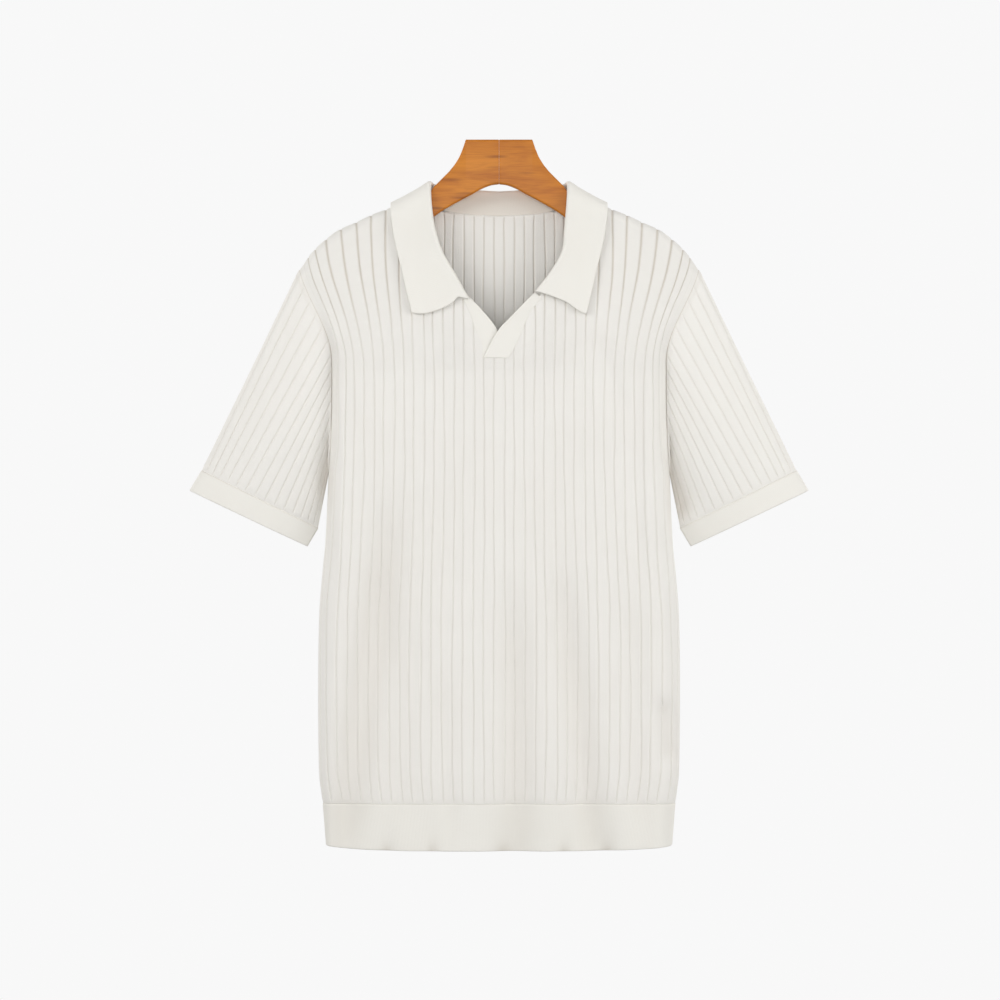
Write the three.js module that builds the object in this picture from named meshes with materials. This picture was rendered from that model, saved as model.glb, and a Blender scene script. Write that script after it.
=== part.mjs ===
// Ribbed knit polo shirt on a plain wooden hanger.
//
// Millimetres, +Z up. The origin is the middle of the flat top of the hanger's neck.
// The shirt's front faces -Y. Left and right are the wearer's, so left lies at +X.
// Every cloth piece is a closed wall: its outer points follow the shape of the hung
// garment, and its inner points lie one cloth thickness behind them.

import * as THREE from 'three';

// Cloth
const CLOTH = 1.8;
const RIB_HEIGHT = 1.1;
const PLAIN_KNIT = 2.2;
const SEAM_GAP = 0.3;
const SHOULDER_GAP = 0.6;

// Body
const HEM_EDGE = -767;
const HEM_SEAM = -716;
const UNDERARM = -356;
const CHEST = -250;
const YOKE_HEIGHT = 170;
const BODY_RIBS = 37;
const RIB_FADE = 7;
const RIB_PLACES = [0, 0.17, 0.83];
const GROOVE_SHARE = 0.16;
const NECK_RIB = 10.5;
const NECK_RIB_COLUMNS = [10.32, 10.54];
const CLOSE_RIBS = 9;
const MIDDLE_RIBS = 15;
const CROWD_FROM = 0.8;
const CROWD_POWER = 1.3;
const ARMHOLE_FADE = 20;
const CROWN = 3.5;
const CROWN_FADE = 130;
const FOLD_START = 0.3;
const FOLD_END = 0.25;
const HEM_CORNER_RISE = 6;

// Rows of a panel run from 0 at the hem seam to 1 at the chest line and on to 2 at the
// shoulder seam and neck. The round over the hanger begins at ROUND_FROM.
const ROUND_FROM = 1.8;
const UNDERARM_ROW = (UNDERARM - HEM_SEAM) / (CHEST - HEM_SEAM);
const LOWER_ROWS = [0, 0.02, 0.2, 0.42, 0.6];
const ARMHOLE_ROWS = [UNDERARM_ROW, 0.89, 1, 1.3, 1.58, ROUND_FROM, 1.85, 1.9, 1.95, 2];

// Shoulder: the cloth rounds over the hanger with this half depth and height
const RIDGE_DEPTH = 10.5;
const RIDGE_RISE = 12;
const RIDGE_ARC = RIDGE_RISE * Math.PI / 2;
const SHOULDER_SEAM_ANGLE = 2.2;
const SHOULDER_SPREAD = 40;
const SPREAD_FROM = 81;
const SPREAD_TO = 200;
const SPREAD_LOW = -245;
const SPREAD_RISE = 155;
const TIP_SPREAD_LOW = -238;
const TIP_SPREAD_RISE = 113;
const TIP_RIBS_FROM = 145;
const TIP_RIBS_WIDTH = 35;
const NECK_WIDTH = 90;
const SHOULDER_END = 222;
const UPPER_HALF = 190;

// Sleeves and cuffs
const SLEEVE_RIBS = 30;
const CUFF_DEPTH = 17;
const SLEEVE_PUFF = 7;
const RING_EVENNESS = 0.55;
const RING_FULLNESS = 0.6;
const ARMHOLE_GAP = 0.5;
const SHOULDER_TIP_GAP = 0.7;
const SHOULDER_TIP = 40;
const INNER_CUFF_GAP = 0.9;

// Hanger
const HANGER_HALF_THICKNESS = 5.5;
const HANGER_TIP = 176;
const HANGER_EDGE = 3.5;
const HANGER_CLEARANCE = 1.2;
const ARM_FROM = 78;
const ARM_HEIGHT = 34;
const ARM_TIP_HEIGHT = 22;
const ARM_REACHES = [103, 119, 128, 136, 145, 153, 163, 170, HANGER_TIP];
const TIP_FROM = 160;
const TIP_LENGTH = 24;
const TIP_DROP = 8;
const THIN_FROM = 150;
const THIN_ARM = 1;
const THIN_TIP = 2.5;

// Body sections: height, half width, front and back depth, and how far the armhole
// seam lies inside the rounded side
const SECTIONS = [
  { height: -767, half: 186, front: 19, back: 18, inset: 0 },
  { height: -716, half: 190, front: 22, back: 20, inset: 0 },
  { height: -680, half: 194, front: 24, back: 21, inset: 0 },
  { height: -520, half: 194, front: 25, back: 22, inset: 0 },
  { height: -440, half: 188, front: 26, back: 23, inset: 0 },
  { height: -356, half: 184, front: 26, back: 24, inset: 0 },
  { height: -325, half: 184, front: 26, back: 24, inset: 3 },
  { height: -250, half: 184, front: 26, back: 24, inset: 4 },
  { height: -200, half: 189, front: 26, back: 24, inset: 9 },
  { height: -140, half: 195, front: 26, back: 24, inset: 15 },
  { height: -40, half: 195, front: 26, back: 24, inset: 15 },
];

// Top line of the shoulder: reach from the middle and height
const SHOULDER = [
  { reach: 0, height: -50 },
  { reach: 70, height: -52.5 },
  { reach: 87, height: -59.5 },
  { reach: 119, height: -75 },
  { reach: 136, height: -81.5 },
  { reach: 153, height: -89.5 },
  { reach: 173, height: -98.5 },
  { reach: 185, height: -107 },
  { reach: 195, height: -115.5 },
  { reach: 203, height: -124 },
  { reach: 210, height: -133 },
  { reach: 216, height: -141.5 },
  { reach: 222, height: -151 },
];

// Cut edge of the neck on the front, from the right shoulder to the left one, and on
// the back, from the middle out
const FRONT_NECK = [
  { across: -85, height: -72 },
  { across: -81, height: -87 },
  { across: -72, height: -105 },
  { across: -58, height: -131 },
  { across: -46, height: -153 },
  { across: -33.5, height: -176 },
  { across: -17.5, height: -233 },
  { across: -16.5, height: -235 },
  { across: 9, height: -235 },
  { across: 26, height: -198 },
  { across: 42, height: -172 },
  { across: 56, height: -148 },
  { across: 72, height: -109 },
  { across: 81, height: -87 },
  { across: 85, height: -72 },
];
const BACK_NECK = [
  { across: 0, height: -83 },
  { across: 32, height: -81.5 },
  { across: 62, height: -78 },
  { across: 79, height: -72 },
  { across: 85, height: -67 },
];

// Soft folds: place of the upper and lower end, width and depth
const FRONT_FOLDS = [
  { fromX: -152, fromZ: -470, toX: -170, toZ: -730, width: 14, depth: 5 },
  { fromX: 14, fromZ: -560, toX: 30, toZ: -720, width: 13, depth: 2.5 },
  { fromX: 92, fromZ: -540, toX: 84, toZ: -730, width: 12, depth: 3 },
  { fromX: -128, fromZ: -300, toX: -96, toZ: -205, width: 13, depth: 2.5 },
  { fromX: 132, fromZ: -310, toX: 104, toZ: -205, width: 13, depth: 3 },
];
const BACK_FOLDS = [
  { fromX: -140, fromZ: -480, toX: -156, toZ: -730, width: 15, depth: 4 },
  { fromX: 60, fromZ: -520, toX: 72, toZ: -725, width: 13, depth: 3 },
  { fromX: -120, fromZ: -320, toX: -84, toZ: -190, width: 15, depth: 3.5 },
  { fromX: 124, fromZ: -330, toX: 88, toZ: -190, width: 15, depth: 3 },
];

// Hem ripples along the lower edge: place, width and depth
const HEM_RIPPLES = [
  { across: -121, width: 15, depth: 2.2 },
  { across: -72, width: 13, depth: 2 },
  { across: 4, width: 17, depth: 2.5 },
  { across: 70, width: 13, depth: 2 },
  { across: 116, width: 14, depth: 2.4 },
];

// Sleeve outline seen from the front: outer and inner end of each ring
const SLEEVE_END = { outerX: 321, outerZ: -357, innerX: 195.5, innerZ: -419 };
const CUFF_END = { outerX: 334, outerZ: -379, innerX: 207.5, innerZ: -439 };

// Collar stations from the front end to the middle of the back. The fold has a free
// place. The base follows the cut neck, and the leaf's edge is given by its reach and
// its distance down from the shoulder line, negative on the back.
const COLLAR = [
  { foldX: 43, foldY: -26, foldZ: -163, baseX: 37, base: 120, leafX: 94, leaf: 131 },
  { foldX: 51, foldY: -24, foldZ: -146, baseX: 47.5, base: 101, leafX: 100, leaf: 106 },
  { foldX: 62, foldY: -21, foldZ: -122, baseX: 60.5, base: 77, leafX: 105, leaf: 80 },
  { foldX: 69.5, foldY: -18.5, foldZ: -97, baseX: 74, base: 50, leafX: 110.5, leaf: 55 },
  { foldX: 73.5, foldY: -14.5, foldZ: -70, baseX: 83, base: 24, leafX: 115, leaf: 30 },
  { foldX: 74, foldY: -2, foldZ: -48, baseX: 86, base: 0, leafX: 117, leaf: 3 },
  { foldX: 69, foldY: 11, foldZ: -48.5, baseX: 80, base: -21, leafX: 114, leaf: -24 },
  { foldX: 50, foldY: 17, foldZ: -51, baseX: 56, base: -32.5, leafX: 88, leaf: -52 },
  { foldX: 25, foldY: 19, foldZ: -54, baseX: 28, base: -37, leafX: 46, leaf: -70 },
  { foldX: 0, foldY: 19.5, foldZ: -55.5, baseX: 0, base: -38.5, leafX: 0, leaf: -75 },
];
const COLLAR_LIFT = 3.6;
const COLLAR_EDGE_LIFT = 5.5;
const FOLD_RADIUS = 2;
const LEAF_FRONT_BOW = 6;
const COLLAR_STATIONS = 32;

// Shares of the way across the collar where its stand ends and its leaf begins
const STAND_SHARE = 0.3;
const FOLD_SHARE = 0.42;
const COLLAR_SHARES = [0, STAND_SHARE, 0.34, 0.38, FOLD_SHARE, 0.52, 0.68, 0.84, 1];
const FOLD_OVER_BASE = 0.95;

// The left end of the collar lies a little further in and lower than the right one
const LEFT_FOLD_IN = 5;
const LEFT_FOLD_DOWN = 3;
const LEFT_BASE_OUT = 3;

// Neck bands: inner and outer edge from the collar's end down to the tip of the V
const BAND_THICKNESS = 2;
const BAND_LIFT = 0.4;
const RIGHT_BAND = [
  { innerX: -39, innerZ: -166.5, outerX: -34, outerZ: -170.5, sink: 0 },
  { innerX: -22, innerZ: -181, outerX: -29.4, outerZ: -187, sink: 0 },
  { innerX: -6, innerZ: -197, outerX: -24.5, outerZ: -202, sink: 1 },
  { innerX: 0, innerZ: -209, outerX: -19.3, outerZ: -219, sink: 2.8 },
  { innerX: -2, innerZ: -226, outerX: -16.8, outerZ: -230.5, sink: 3.2 },
];
const LEFT_BAND = [
  { innerX: 36, innerZ: -168, outerX: 40.5, outerZ: -171.5, sink: 0 },
  { innerX: 15, innerZ: -184.5, outerX: 29.5, outerZ: -190, sink: 0 },
  { innerX: 0, innerZ: -202.5, outerX: 22, outerZ: -203.5, sink: -1.2 },
  { innerX: -10, innerZ: -222, outerX: 13, outerZ: -224, sink: -2.7 },
  { innerX: -16, innerZ: -234.3, outerX: 8.6, outerZ: -234.6, sink: -3.1 },
];

// Hanger profile: reach, top and bottom height
const HANGER = [
  { reach: 0, top: 0, bottom: -48.5 },
  { reach: 18, top: 0, bottom: -51.5 },
  { reach: 36, top: 0, bottom: -61.5 },
  { reach: 39, top: -9, bottom: -63.5 },
  { reach: 43, top: -19, bottom: -66 },
  { reach: 48, top: -27, bottom: -69 },
  { reach: 54, top: -34.5, bottom: -72.5 },
  { reach: 61, top: -41.5, bottom: -76.5 },
  { reach: 70, top: -50.5, bottom: -83 },
  { reach: 78, top: -61, bottom: -90 },
  { reach: 86, top: -68, bottom: -95 },
  { reach: 93, top: -69, bottom: -99.5 },
];

const COLOURS = {
  ribKnit: 0xf1efe8,
  plainKnit: 0xf3f0e7,
  wood: 0xb5702c,
};

function clamp(value) {
  return Math.min(1, Math.max(0, value));
}

function clampTo(value, low, high) {
  return Math.min(high, Math.max(low, value));
}

function lerp(a, b, t) {
  return a + (b - a) * t;
}

function smooth(value) {
  const t = clamp(value);
  return t * t * (3 - 2 * t);
}

// Value of a column at a place along a table: a cubic through the rows
function along(table, key, column, at) {
  const first = table[0][key];
  const rising = table[table.length - 1][key] > first;
  let i = 0;
  while (i < table.length - 2 && (rising ? at > table[i + 1][key] : at < table[i + 1][key])) {
    i += 1;
  }
  const slope = (k) => {
    const a = table[Math.max(0, k - 1)];
    const b = table[Math.min(table.length - 1, k + 1)];
    return (b[column] - a[column]) / (b[key] - a[key]);
  };
  const start = table[i];
  const end = table[i + 1];
  const span = end[key] - start[key];
  const t = clamp((at - start[key]) / span);
  const rise = t * t * (3 - 2 * t);
  const leave = t * (1 - t) * (1 - t);
  const arrive = t * t * (t - 1);
  return lerp(start[column], end[column], rise)
    + span * (leave * slope(i) + arrive * slope(i + 1));
}

// Value of a column at a fraction of a table's rows
function atRow(table, column, fraction) {
  const rows = table.map((row, index) => ({ index, value: row[column] }));
  return along(rows, 'index', 'value', fraction * (table.length - 1));
}

function shoulderHeight(reach) {
  return along(SHOULDER, 'reach', 'height', Math.min(SHOULDER_END, Math.abs(reach)));
}

// Depth of the torso below the shoulder line, from the ridge over the hanger out to
// the full depth at the chest
function depthBelow(side, drop, fullDrop) {
  const full = along(SECTIONS, 'height', side < 0 ? 'front' : 'back', CHEST);
  const grown = smooth((drop - RIDGE_RISE) / (fullDrop - RIDGE_RISE));
  return lerp(RIDGE_DEPTH, full, grown);
}

// Crown of the chest, which fades out over the shoulder and at the sides
function crown(across, half, drop) {
  return CROWN * (1 - (across / half) ** 2) * smooth(drop / CROWN_FADE);
}

// Depth that the soft folds take out of the surface
function foldDepth(folds, x, z) {
  return folds.reduce((total, fold) => {
    const dx = fold.toX - fold.fromX;
    const dz = fold.toZ - fold.fromZ;
    const length = Math.hypot(dx, dz);
    const down = ((x - fold.fromX) * dx + (z - fold.fromZ) * dz) / (length * length);
    const off = ((x - fold.fromX) * dz - (z - fold.fromZ) * dx) / length;
    const ends = smooth(down / FOLD_START) * smooth((1 - down) / FOLD_END);
    return total + fold.depth * ends * Math.exp(-((off / fold.width) ** 2));
  }, 0);
}

// Place on a body section at a fraction of the cloth's width: a flat stretch that
// ends in a quarter round at the side seam or at the armhole. The armhole takes its
// width from the outer ribs alone, so the others run straight up.
function onSection(u, height, depth) {
  const half = along(SECTIONS, 'height', 'half', height);
  const inset = along(SECTIONS, 'height', 'inset', height);
  const flat = half - depth;
  const edge = half - inset;
  const edgeTurn = Math.asin(clamp((edge - flat) / depth));
  const width = edge > flat ? flat + depth * edgeTurn : edge;
  const full = flat + depth * Math.PI / 2;
  const crowd = clamp((Math.abs(u) - CROWD_FROM) / (1 - CROWD_FROM)) ** CROWD_POWER;
  const run = Math.abs(u) * full - (full - width) * crowd;
  const turn = Math.max(0, run - flat) / depth;
  const x = Math.min(run, flat) + depth * Math.sin(turn);
  return { x: Math.sign(u) * x, y: depth * Math.cos(turn), half };
}

// The ribs spread outwards near the shoulder, and do so in a shorter height at its tip
function spread(x, height) {
  const tip = smooth((Math.abs(x) - TIP_RIBS_FROM) / TIP_RIBS_WIDTH);
  const low = lerp(SPREAD_LOW, TIP_SPREAD_LOW, tip);
  const rise = smooth((height - low) / lerp(SPREAD_RISE, TIP_SPREAD_RISE, tip));
  const share = smooth((Math.abs(x) - SPREAD_FROM) / (SPREAD_TO - SPREAD_FROM));
  return x + Math.sign(x) * SHOULDER_SPREAD * rise * share;
}

// 1 on the flat of a side of the body and 0 at the side edge
function flatness(y, depth) {
  return smooth(1.4 * y / depth - 0.4);
}

function foldsOf(side) {
  return side < 0 ? FRONT_FOLDS : BACK_FOLDS;
}

// Turn over the hanger at which a panel meets the shoulder seam, which lies on the front
function seamAngle(side) {
  return side < 0 ? SHOULDER_SEAM_ANGLE : Math.PI - SHOULDER_SEAM_ANGLE;
}

// Body below the chest line
function lowerBody(side, u, height) {
  const depth = along(SECTIONS, 'height', side < 0 ? 'front' : 'back', height);
  const place = onSection(u, height, depth);
  const folds = foldDepth(foldsOf(side), place.x, height);
  const bulge = crown(place.x, place.half, CROWN_FADE) - folds;
  const y = place.y + bulge * flatness(place.y, depth);
  return new THREE.Vector3(place.x, side * y, height);
}

// Top height of a column of the yoke, found from where its ribs reach the shoulder
function columnTop(u) {
  let height = -100;
  for (let i = 0; i < 4; i += 1) {
    height = shoulderHeight(spread(onSection(u, height, RIDGE_DEPTH).x, height));
  }
  return height;
}

// Body above the chest line: up the chest, then round over the hanger
function yoke(side, u, run) {
  const top = columnTop(u);
  const straight = top - RIDGE_RISE - CHEST;
  const rise = Math.min(run, straight);
  const turn = Math.max(0, run - straight) / RIDGE_RISE;
  const height = CHEST + rise + RIDGE_RISE * Math.sin(turn);
  const drop = top - (CHEST + rise);
  const depth = depthBelow(side, drop, top - CHEST);
  const place = onSection(u, CHEST + rise, depth);
  const folds = foldDepth(foldsOf(side), place.x, height) * smooth(drop / 60 - 0.3);
  const bulge = crown(place.x, place.half, drop - RIDGE_RISE) - folds;
  const y = place.y * Math.cos(turn) + bulge * flatness(place.y, depth);
  return new THREE.Vector3(spread(place.x, height), side * y, height);
}

// Length of a yoke column from the chest line to the shoulder seam or the cut neck
function yokeRun(side, u) {
  const top = columnTop(u);
  const straight = top - RIDGE_RISE - CHEST;
  const seam = straight + RIDGE_RISE * seamAngle(side) - (side < 0 ? 0 : SHOULDER_GAP);
  const x = yoke(side, u, straight).x;
  if (Math.abs(x) >= NECK_WIDTH) {
    return seam;
  }
  const table = side < 0 ? FRONT_NECK : BACK_NECK;
  const across = side < 0 ? x : Math.abs(x);
  const edge = table[table.length - 1].across;
  const cut = straightTable(table, clampTo(across, side < 0 ? -edge : 0, edge));
  const near = smooth((Math.abs(x) - edge) / (NECK_WIDTH - edge));
  return lerp(cut - CHEST, seam, near);
}

// Height of a cut edge, straight between its points
function straightTable(table, across) {
  let i = 0;
  while (i < table.length - 2 && across > table[i + 1].across) {
    i += 1;
  }
  const t = (across - table[i].across) / (table[i + 1].across - table[i].across);
  return lerp(table[i].height, table[i + 1].height, t);
}

// One point of a body panel
function panelPoint(side, u, row) {
  if (row <= 1) {
    return lowerBody(side, u, lerp(HEM_SEAM + SEAM_GAP / 2, CHEST, row));
  }
  const top = columnTop(u);
  const straight = top - RIDGE_RISE - CHEST;
  const round = RIDGE_RISE * seamAngle(side);
  const roundShare = round / (straight + round);
  const share = row < ROUND_FROM
    ? (1 - roundShare) * (row - 1) / (ROUND_FROM - 1)
    : 1 - roundShare * (2 - row) / (2 - ROUND_FROM);
  return yoke(side, u, share * yokeRun(side, u));
}

// Outward normal of a surface that is a function of two parameters
function normalAt(surface, a, b, step = 1e-3) {
  const along1 = surface(a + step, b).sub(surface(a - step, b));
  const along2 = surface(a, b + step).sub(surface(a, b - step));
  return along1.cross(along2).normalize();
}

// Rounded rib with a narrow groove at each end of its pitch
function ribProfile(phase) {
  const place = phase - Math.floor(phase);
  return clamp(Math.min(place, 1 - place) / GROOVE_SHARE);
}

// Parameters of the columns: three for each rib on the outside, one on the inside
function ribColumns(ribs) {
  const columns = [];
  for (let rib = 0; rib < ribs; rib += 1) {
    RIB_PLACES.forEach((place) => columns.push((rib + place) / ribs));
  }
  columns.push(1);
  return columns;
}

// The neck's edge turns over the shoulder within one rib, so that rib has more columns
function bodyColumns() {
  const extra = NECK_RIB_COLUMNS.map((rib) => rib / BODY_RIBS);
  const both = [...extra, ...extra.map((column) => 1 - column)];
  return [...ribColumns(BODY_RIBS), ...both].sort((a, b) => a - b);
}

// Inner columns: every rib near the two sides, where the cloth turns, and near the V,
// every second one between, and every outer column where the neck's edge meets the
// shoulder
function innerBodyColumns() {
  return bodyColumns().filter((column) => {
    const rib = column * BODY_RIBS;
    const near = Math.min(rib, BODY_RIBS - rib);
    const whole = Math.abs(rib - Math.round(rib)) < 0.01;
    const byNeck = near > NECK_RIB - 1 && near < NECK_RIB + 1.3;
    const close = near < CLOSE_RIBS || near > MIDDLE_RIBS;
    return byNeck || (whole && (close || Math.round(near) % 2 === 0));
  });
}

function plainColumns(count) {
  return Array.from({ length: count + 1 }, (_, index) => index / count);
}

// Triangles between two edge lines with different numbers of points
function zip(faces, outerLine, innerLine) {
  let i = 0;
  let j = 0;
  const lastOuter = outerLine.length - 1;
  const lastInner = innerLine.length - 1;
  while (i < lastOuter || j < lastInner) {
    const outerNext = i < lastOuter ? outerLine[i + 1].at : Infinity;
    const innerNext = j < lastInner ? innerLine[j + 1].at : Infinity;
    if (outerNext <= innerNext) {
      faces.push(outerLine[i + 1].id, outerLine[i].id, innerLine[j].id);
      i += 1;
    } else {
      faces.push(innerLine[j].id, innerLine[j + 1].id, outerLine[i].id);
      j += 1;
    }
  }
}

// One sheet of a wall as a grid of numbered points
function sheet(points, rows, columns, place) {
  const start = points.length / 3;
  rows.forEach((row) => columns.forEach((column) => {
    const p = place(column, row);
    points.push(p.x, p.y, p.z);
  }));
  return (r, c) => start + r * columns.length + c;
}

// Closed wall between an outer and an inner sheet. A ring joins its last column to
// its first; any other wall has rims on all four sides.
function wall(outer, inner, ring = false) {
  const points = [];
  const faces = [];
  const sides = [outer, inner].map((grid) => {
    const columns = ring ? grid.columns.slice(0, -1) : grid.columns;
    const id = sheet(points, grid.rows, columns, grid.place);
    const wrap = (c) => (ring ? c % columns.length : c);
    return { ...grid, id: (r, c) => id(r, wrap(c)), across: grid.columns.length - 1 };
  });
  sides.forEach((grid, which) => {
    for (let r = 0; r < grid.rows.length - 1; r += 1) {
      for (let c = 0; c < grid.across; c += 1) {
        const a = grid.id(r, c);
        const b = grid.id(r, c + 1);
        const d = grid.id(r + 1, c);
        const e = grid.id(r + 1, c + 1);
        faces.push(...(which === 0 ? [a, b, e, a, e, d] : [a, e, b, a, d, e]));
      }
    }
  });
  const [o, i] = sides;
  const rowLine = (grid, r, sign) => grid.columns.map((at, c) => ({ id: grid.id(r, c), at: sign * at }));
  const columnLine = (grid, c, sign) => grid.rows.map((at, r) => ({ id: grid.id(r, c), at: sign * at }));
  const topOuter = o.rows.length - 1;
  const topInner = i.rows.length - 1;
  zip(faces, rowLine(o, 0, 1), rowLine(i, 0, 1));
  zip(faces, rowLine(o, topOuter, -1).reverse(), rowLine(i, topInner, -1).reverse());
  if (!ring) {
    zip(faces, columnLine(o, o.across, 1), columnLine(i, i.across, 1));
    zip(faces, columnLine(o, 0, -1).reverse(), columnLine(i, 0, -1).reverse());
  }
  return solid(points, faces);
}

// Geometry with its faces turned outwards
function solid(points, faces) {
  const corner = (index) => new THREE.Vector3().fromArray(points, index * 3);
  let volume = 0;
  for (let f = 0; f < faces.length; f += 3) {
    volume += corner(faces[f]).dot(corner(faces[f + 1]).cross(corner(faces[f + 2])));
  }
  const geometry = new THREE.BufferGeometry();
  geometry.setAttribute('position', new THREE.Float32BufferAttribute(points, 3));
  geometry.setIndex(volume > 0 ? faces : faces.slice().reverse());
  geometry.computeVertexNormals();
  return geometry;
}

// Wall on a smooth surface, raised by a relief on the outside and plain inside
function clothWall(surface, grid) {
  const lift = (column, row, height) => {
    const normal = normalAt(surface, column, row);
    return surface(column, row).addScaledVector(normal, height);
  };
  const outward = grid.outward ?? 1;
  const relief = grid.relief ?? (() => 0);
  const outer = {
    rows: grid.rows,
    columns: grid.columns,
    place: (column, row) => lift(column, row, outward * relief(column, row)),
  };
  const inner = {
    rows: grid.innerRows ?? grid.rows,
    columns: grid.innerColumns ?? grid.columns,
    place: (column, row) => lift(column, row, -outward * grid.thickness),
  };
  return wall(outer, inner, grid.ring);
}

// Front and back panels
function bodyPanel(side) {
  const surface = (column, row) => panelPoint(side, -side * (2 * column - 1), row);
  const width = 2 * along(SECTIONS, 'height', 'half', UNDERARM);
  const relief = (column, row) => {
    const fromEdge = Math.min(column, 1 - column) * width;
    const fromSeam = Math.min(row * (CHEST - HEM_SEAM), (2 - row) * YOKE_HEIGHT);
    const sideFade = lerp(RIB_FADE, ARMHOLE_FADE, smooth((row - UNDERARM_ROW) / 0.1));
    const fade = smooth(fromEdge / sideFade) * smooth(fromSeam / RIB_FADE);
    return RIB_HEIGHT * ribProfile(column * BODY_RIBS) * fade;
  };
  return clothWall(surface, {
    rows: [...LOWER_ROWS, ...ARMHOLE_ROWS],
    columns: bodyColumns(),
    innerRows: [0, ...LOWER_ROWS.slice(2), ...ARMHOLE_ROWS],
    innerColumns: innerBodyColumns(),
    thickness: CLOTH,
    relief,
  });
}

// Hem bands continue the panels down to the lower edge, with soft ripples
function hemBand(side) {
  const surface = (column, row) => {
    const u = -side * (2 * column - 1);
    const edge = HEM_EDGE + HEM_CORNER_RISE * Math.abs(u) ** 4;
    const height = lerp(edge, HEM_SEAM - SEAM_GAP / 2, row);
    const place = lowerBody(side, u, height);
    const ripple = HEM_RIPPLES.reduce((sum, wave) => {
      const off = (place.x + side * wave.across) / wave.width;
      return sum + wave.depth * Math.exp(-(off ** 2));
    }, 0);
    place.y -= side * ripple * clamp(1 - row) ** 1.5;
    return place;
  };
  return clothWall(surface, {
    rows: [0, 0.4, 1],
    columns: plainColumns(36),
    thickness: PLAIN_KNIT,
  });
}

// Edge line of a panel at the armhole, from the underarm to the shoulder seam, with
// the length run so far at each point
function armholeEdge(side) {
  const points = ARMHOLE_ROWS.map((row) => panelPoint(side, 1, row));
  const lengths = [0];
  for (let i = 1; i < points.length; i += 1) {
    lengths.push(lengths[i - 1] + points[i].distanceTo(points[i - 1]));
  }
  return { points, lengths };
}

const ARMHOLE_FRONT = armholeEdge(-1);
const ARMHOLE_BACK = armholeEdge(1);

// Armhole as a ring: from the shoulder seam down the back, round the underarm and up
// the front
function armhole(share) {
  const onFront = share > 0.5;
  const edge = onFront ? ARMHOLE_FRONT : ARMHOLE_BACK;
  const up = onFront ? share * 2 - 1 : 1 - share * 2;
  const last = edge.points.length - 1;
  const run = up * edge.lengths[last];
  let i = 0;
  while (i < last - 1 && run > edge.lengths[i + 1]) {
    i += 1;
  }
  const t = clamp((run - edge.lengths[i]) / (edge.lengths[i + 1] - edge.lengths[i]));
  const point = edge.points[i].clone().lerp(edge.points[i + 1], t);
  const nearTip = smooth(1 - (edge.lengths[last] - run) / SHOULDER_TIP);
  point.x += ARMHOLE_GAP + SHOULDER_TIP_GAP * nearTip;
  return point;
}

// Flattened ring seen from the front as the line between its outer and inner end
function flatRing(end, depth, share) {
  const onFront = share > 0.5;
  const across = onFront ? (1 - share) * 2 : share * 2;
  const turn = Math.PI * across;
  const slide = lerp((1 - Math.cos(turn)) / 2, across, RING_EVENNESS);
  const y = depth * clamp(Math.sin(turn)) ** RING_FULLNESS;
  return new THREE.Vector3(
    lerp(end.outerX, end.innerX, slide),
    onFront ? -y : y,
    lerp(end.outerZ, end.innerZ, slide),
  );
}

function wrapShare(share) {
  return share - Math.floor(share);
}

// The wearer's left sleeve; the right one is its mirror image
function sleeveSurface(share, row) {
  const around = wrapShare(share);
  const start = armhole(around);
  const end = flatRing(SLEEVE_END, CUFF_DEPTH, around);
  const front = around > 0.5 ? -1 : 1;
  const across = around > 0.5 ? (1 - around) * 2 : around * 2;
  const puff = SLEEVE_PUFF * Math.sin(Math.PI * clamp(row)) * Math.sin(Math.PI * across);
  const place = start.lerp(end, row);
  place.y += front * puff;
  return place;
}

// The cuff flares away from the sleeve's inner end, so its seam opens a little there
function cuffSurface(share, row) {
  const around = wrapShare(share);
  const start = flatRing(SLEEVE_END, CUFF_DEPTH, around);
  const end = flatRing(CUFF_END, CUFF_DEPTH - 1, around);
  const length = start.distanceTo(end);
  const inside = around > 0.5 ? (1 - around) * 2 : around * 2;
  const gap = SEAM_GAP + INNER_CUFF_GAP * inside ** 4;
  return start.lerp(end, lerp(gap / length, 1, row));
}

function sleeve() {
  const relief = (share, row) => {
    const length = sleeveSurface(share, 0).distanceTo(sleeveSurface(share, 1));
    const fromSeam = Math.min(row, 1 - row) * length;
    return RIB_HEIGHT * ribProfile(share * SLEEVE_RIBS) * smooth(fromSeam / RIB_FADE);
  };
  return clothWall(sleeveSurface, {
    rows: [0, 0.05, 0.35, 0.65, 0.95, 1],
    columns: ribColumns(SLEEVE_RIBS),
    innerRows: [0, 0.35, 0.65, 1],
    innerColumns: plainColumns(SLEEVE_RIBS),
    thickness: CLOTH,
    ring: true,
    outward: -1,
    relief,
  });
}

function cuff() {
  return clothWall(cuffSurface, {
    rows: [0, 0.5, 1],
    columns: plainColumns(32),
    thickness: PLAIN_KNIT,
    ring: true,
    outward: -1,
  });
}

// Mirror image in the middle plane, with its faces turned back outwards
function mirrored(geometry) {
  const copy = geometry.clone().scale(-1, 1, 1);
  copy.setIndex(Array.from(copy.index.array).reverse());
  copy.computeVertexNormals();
  return copy;
}

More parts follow.
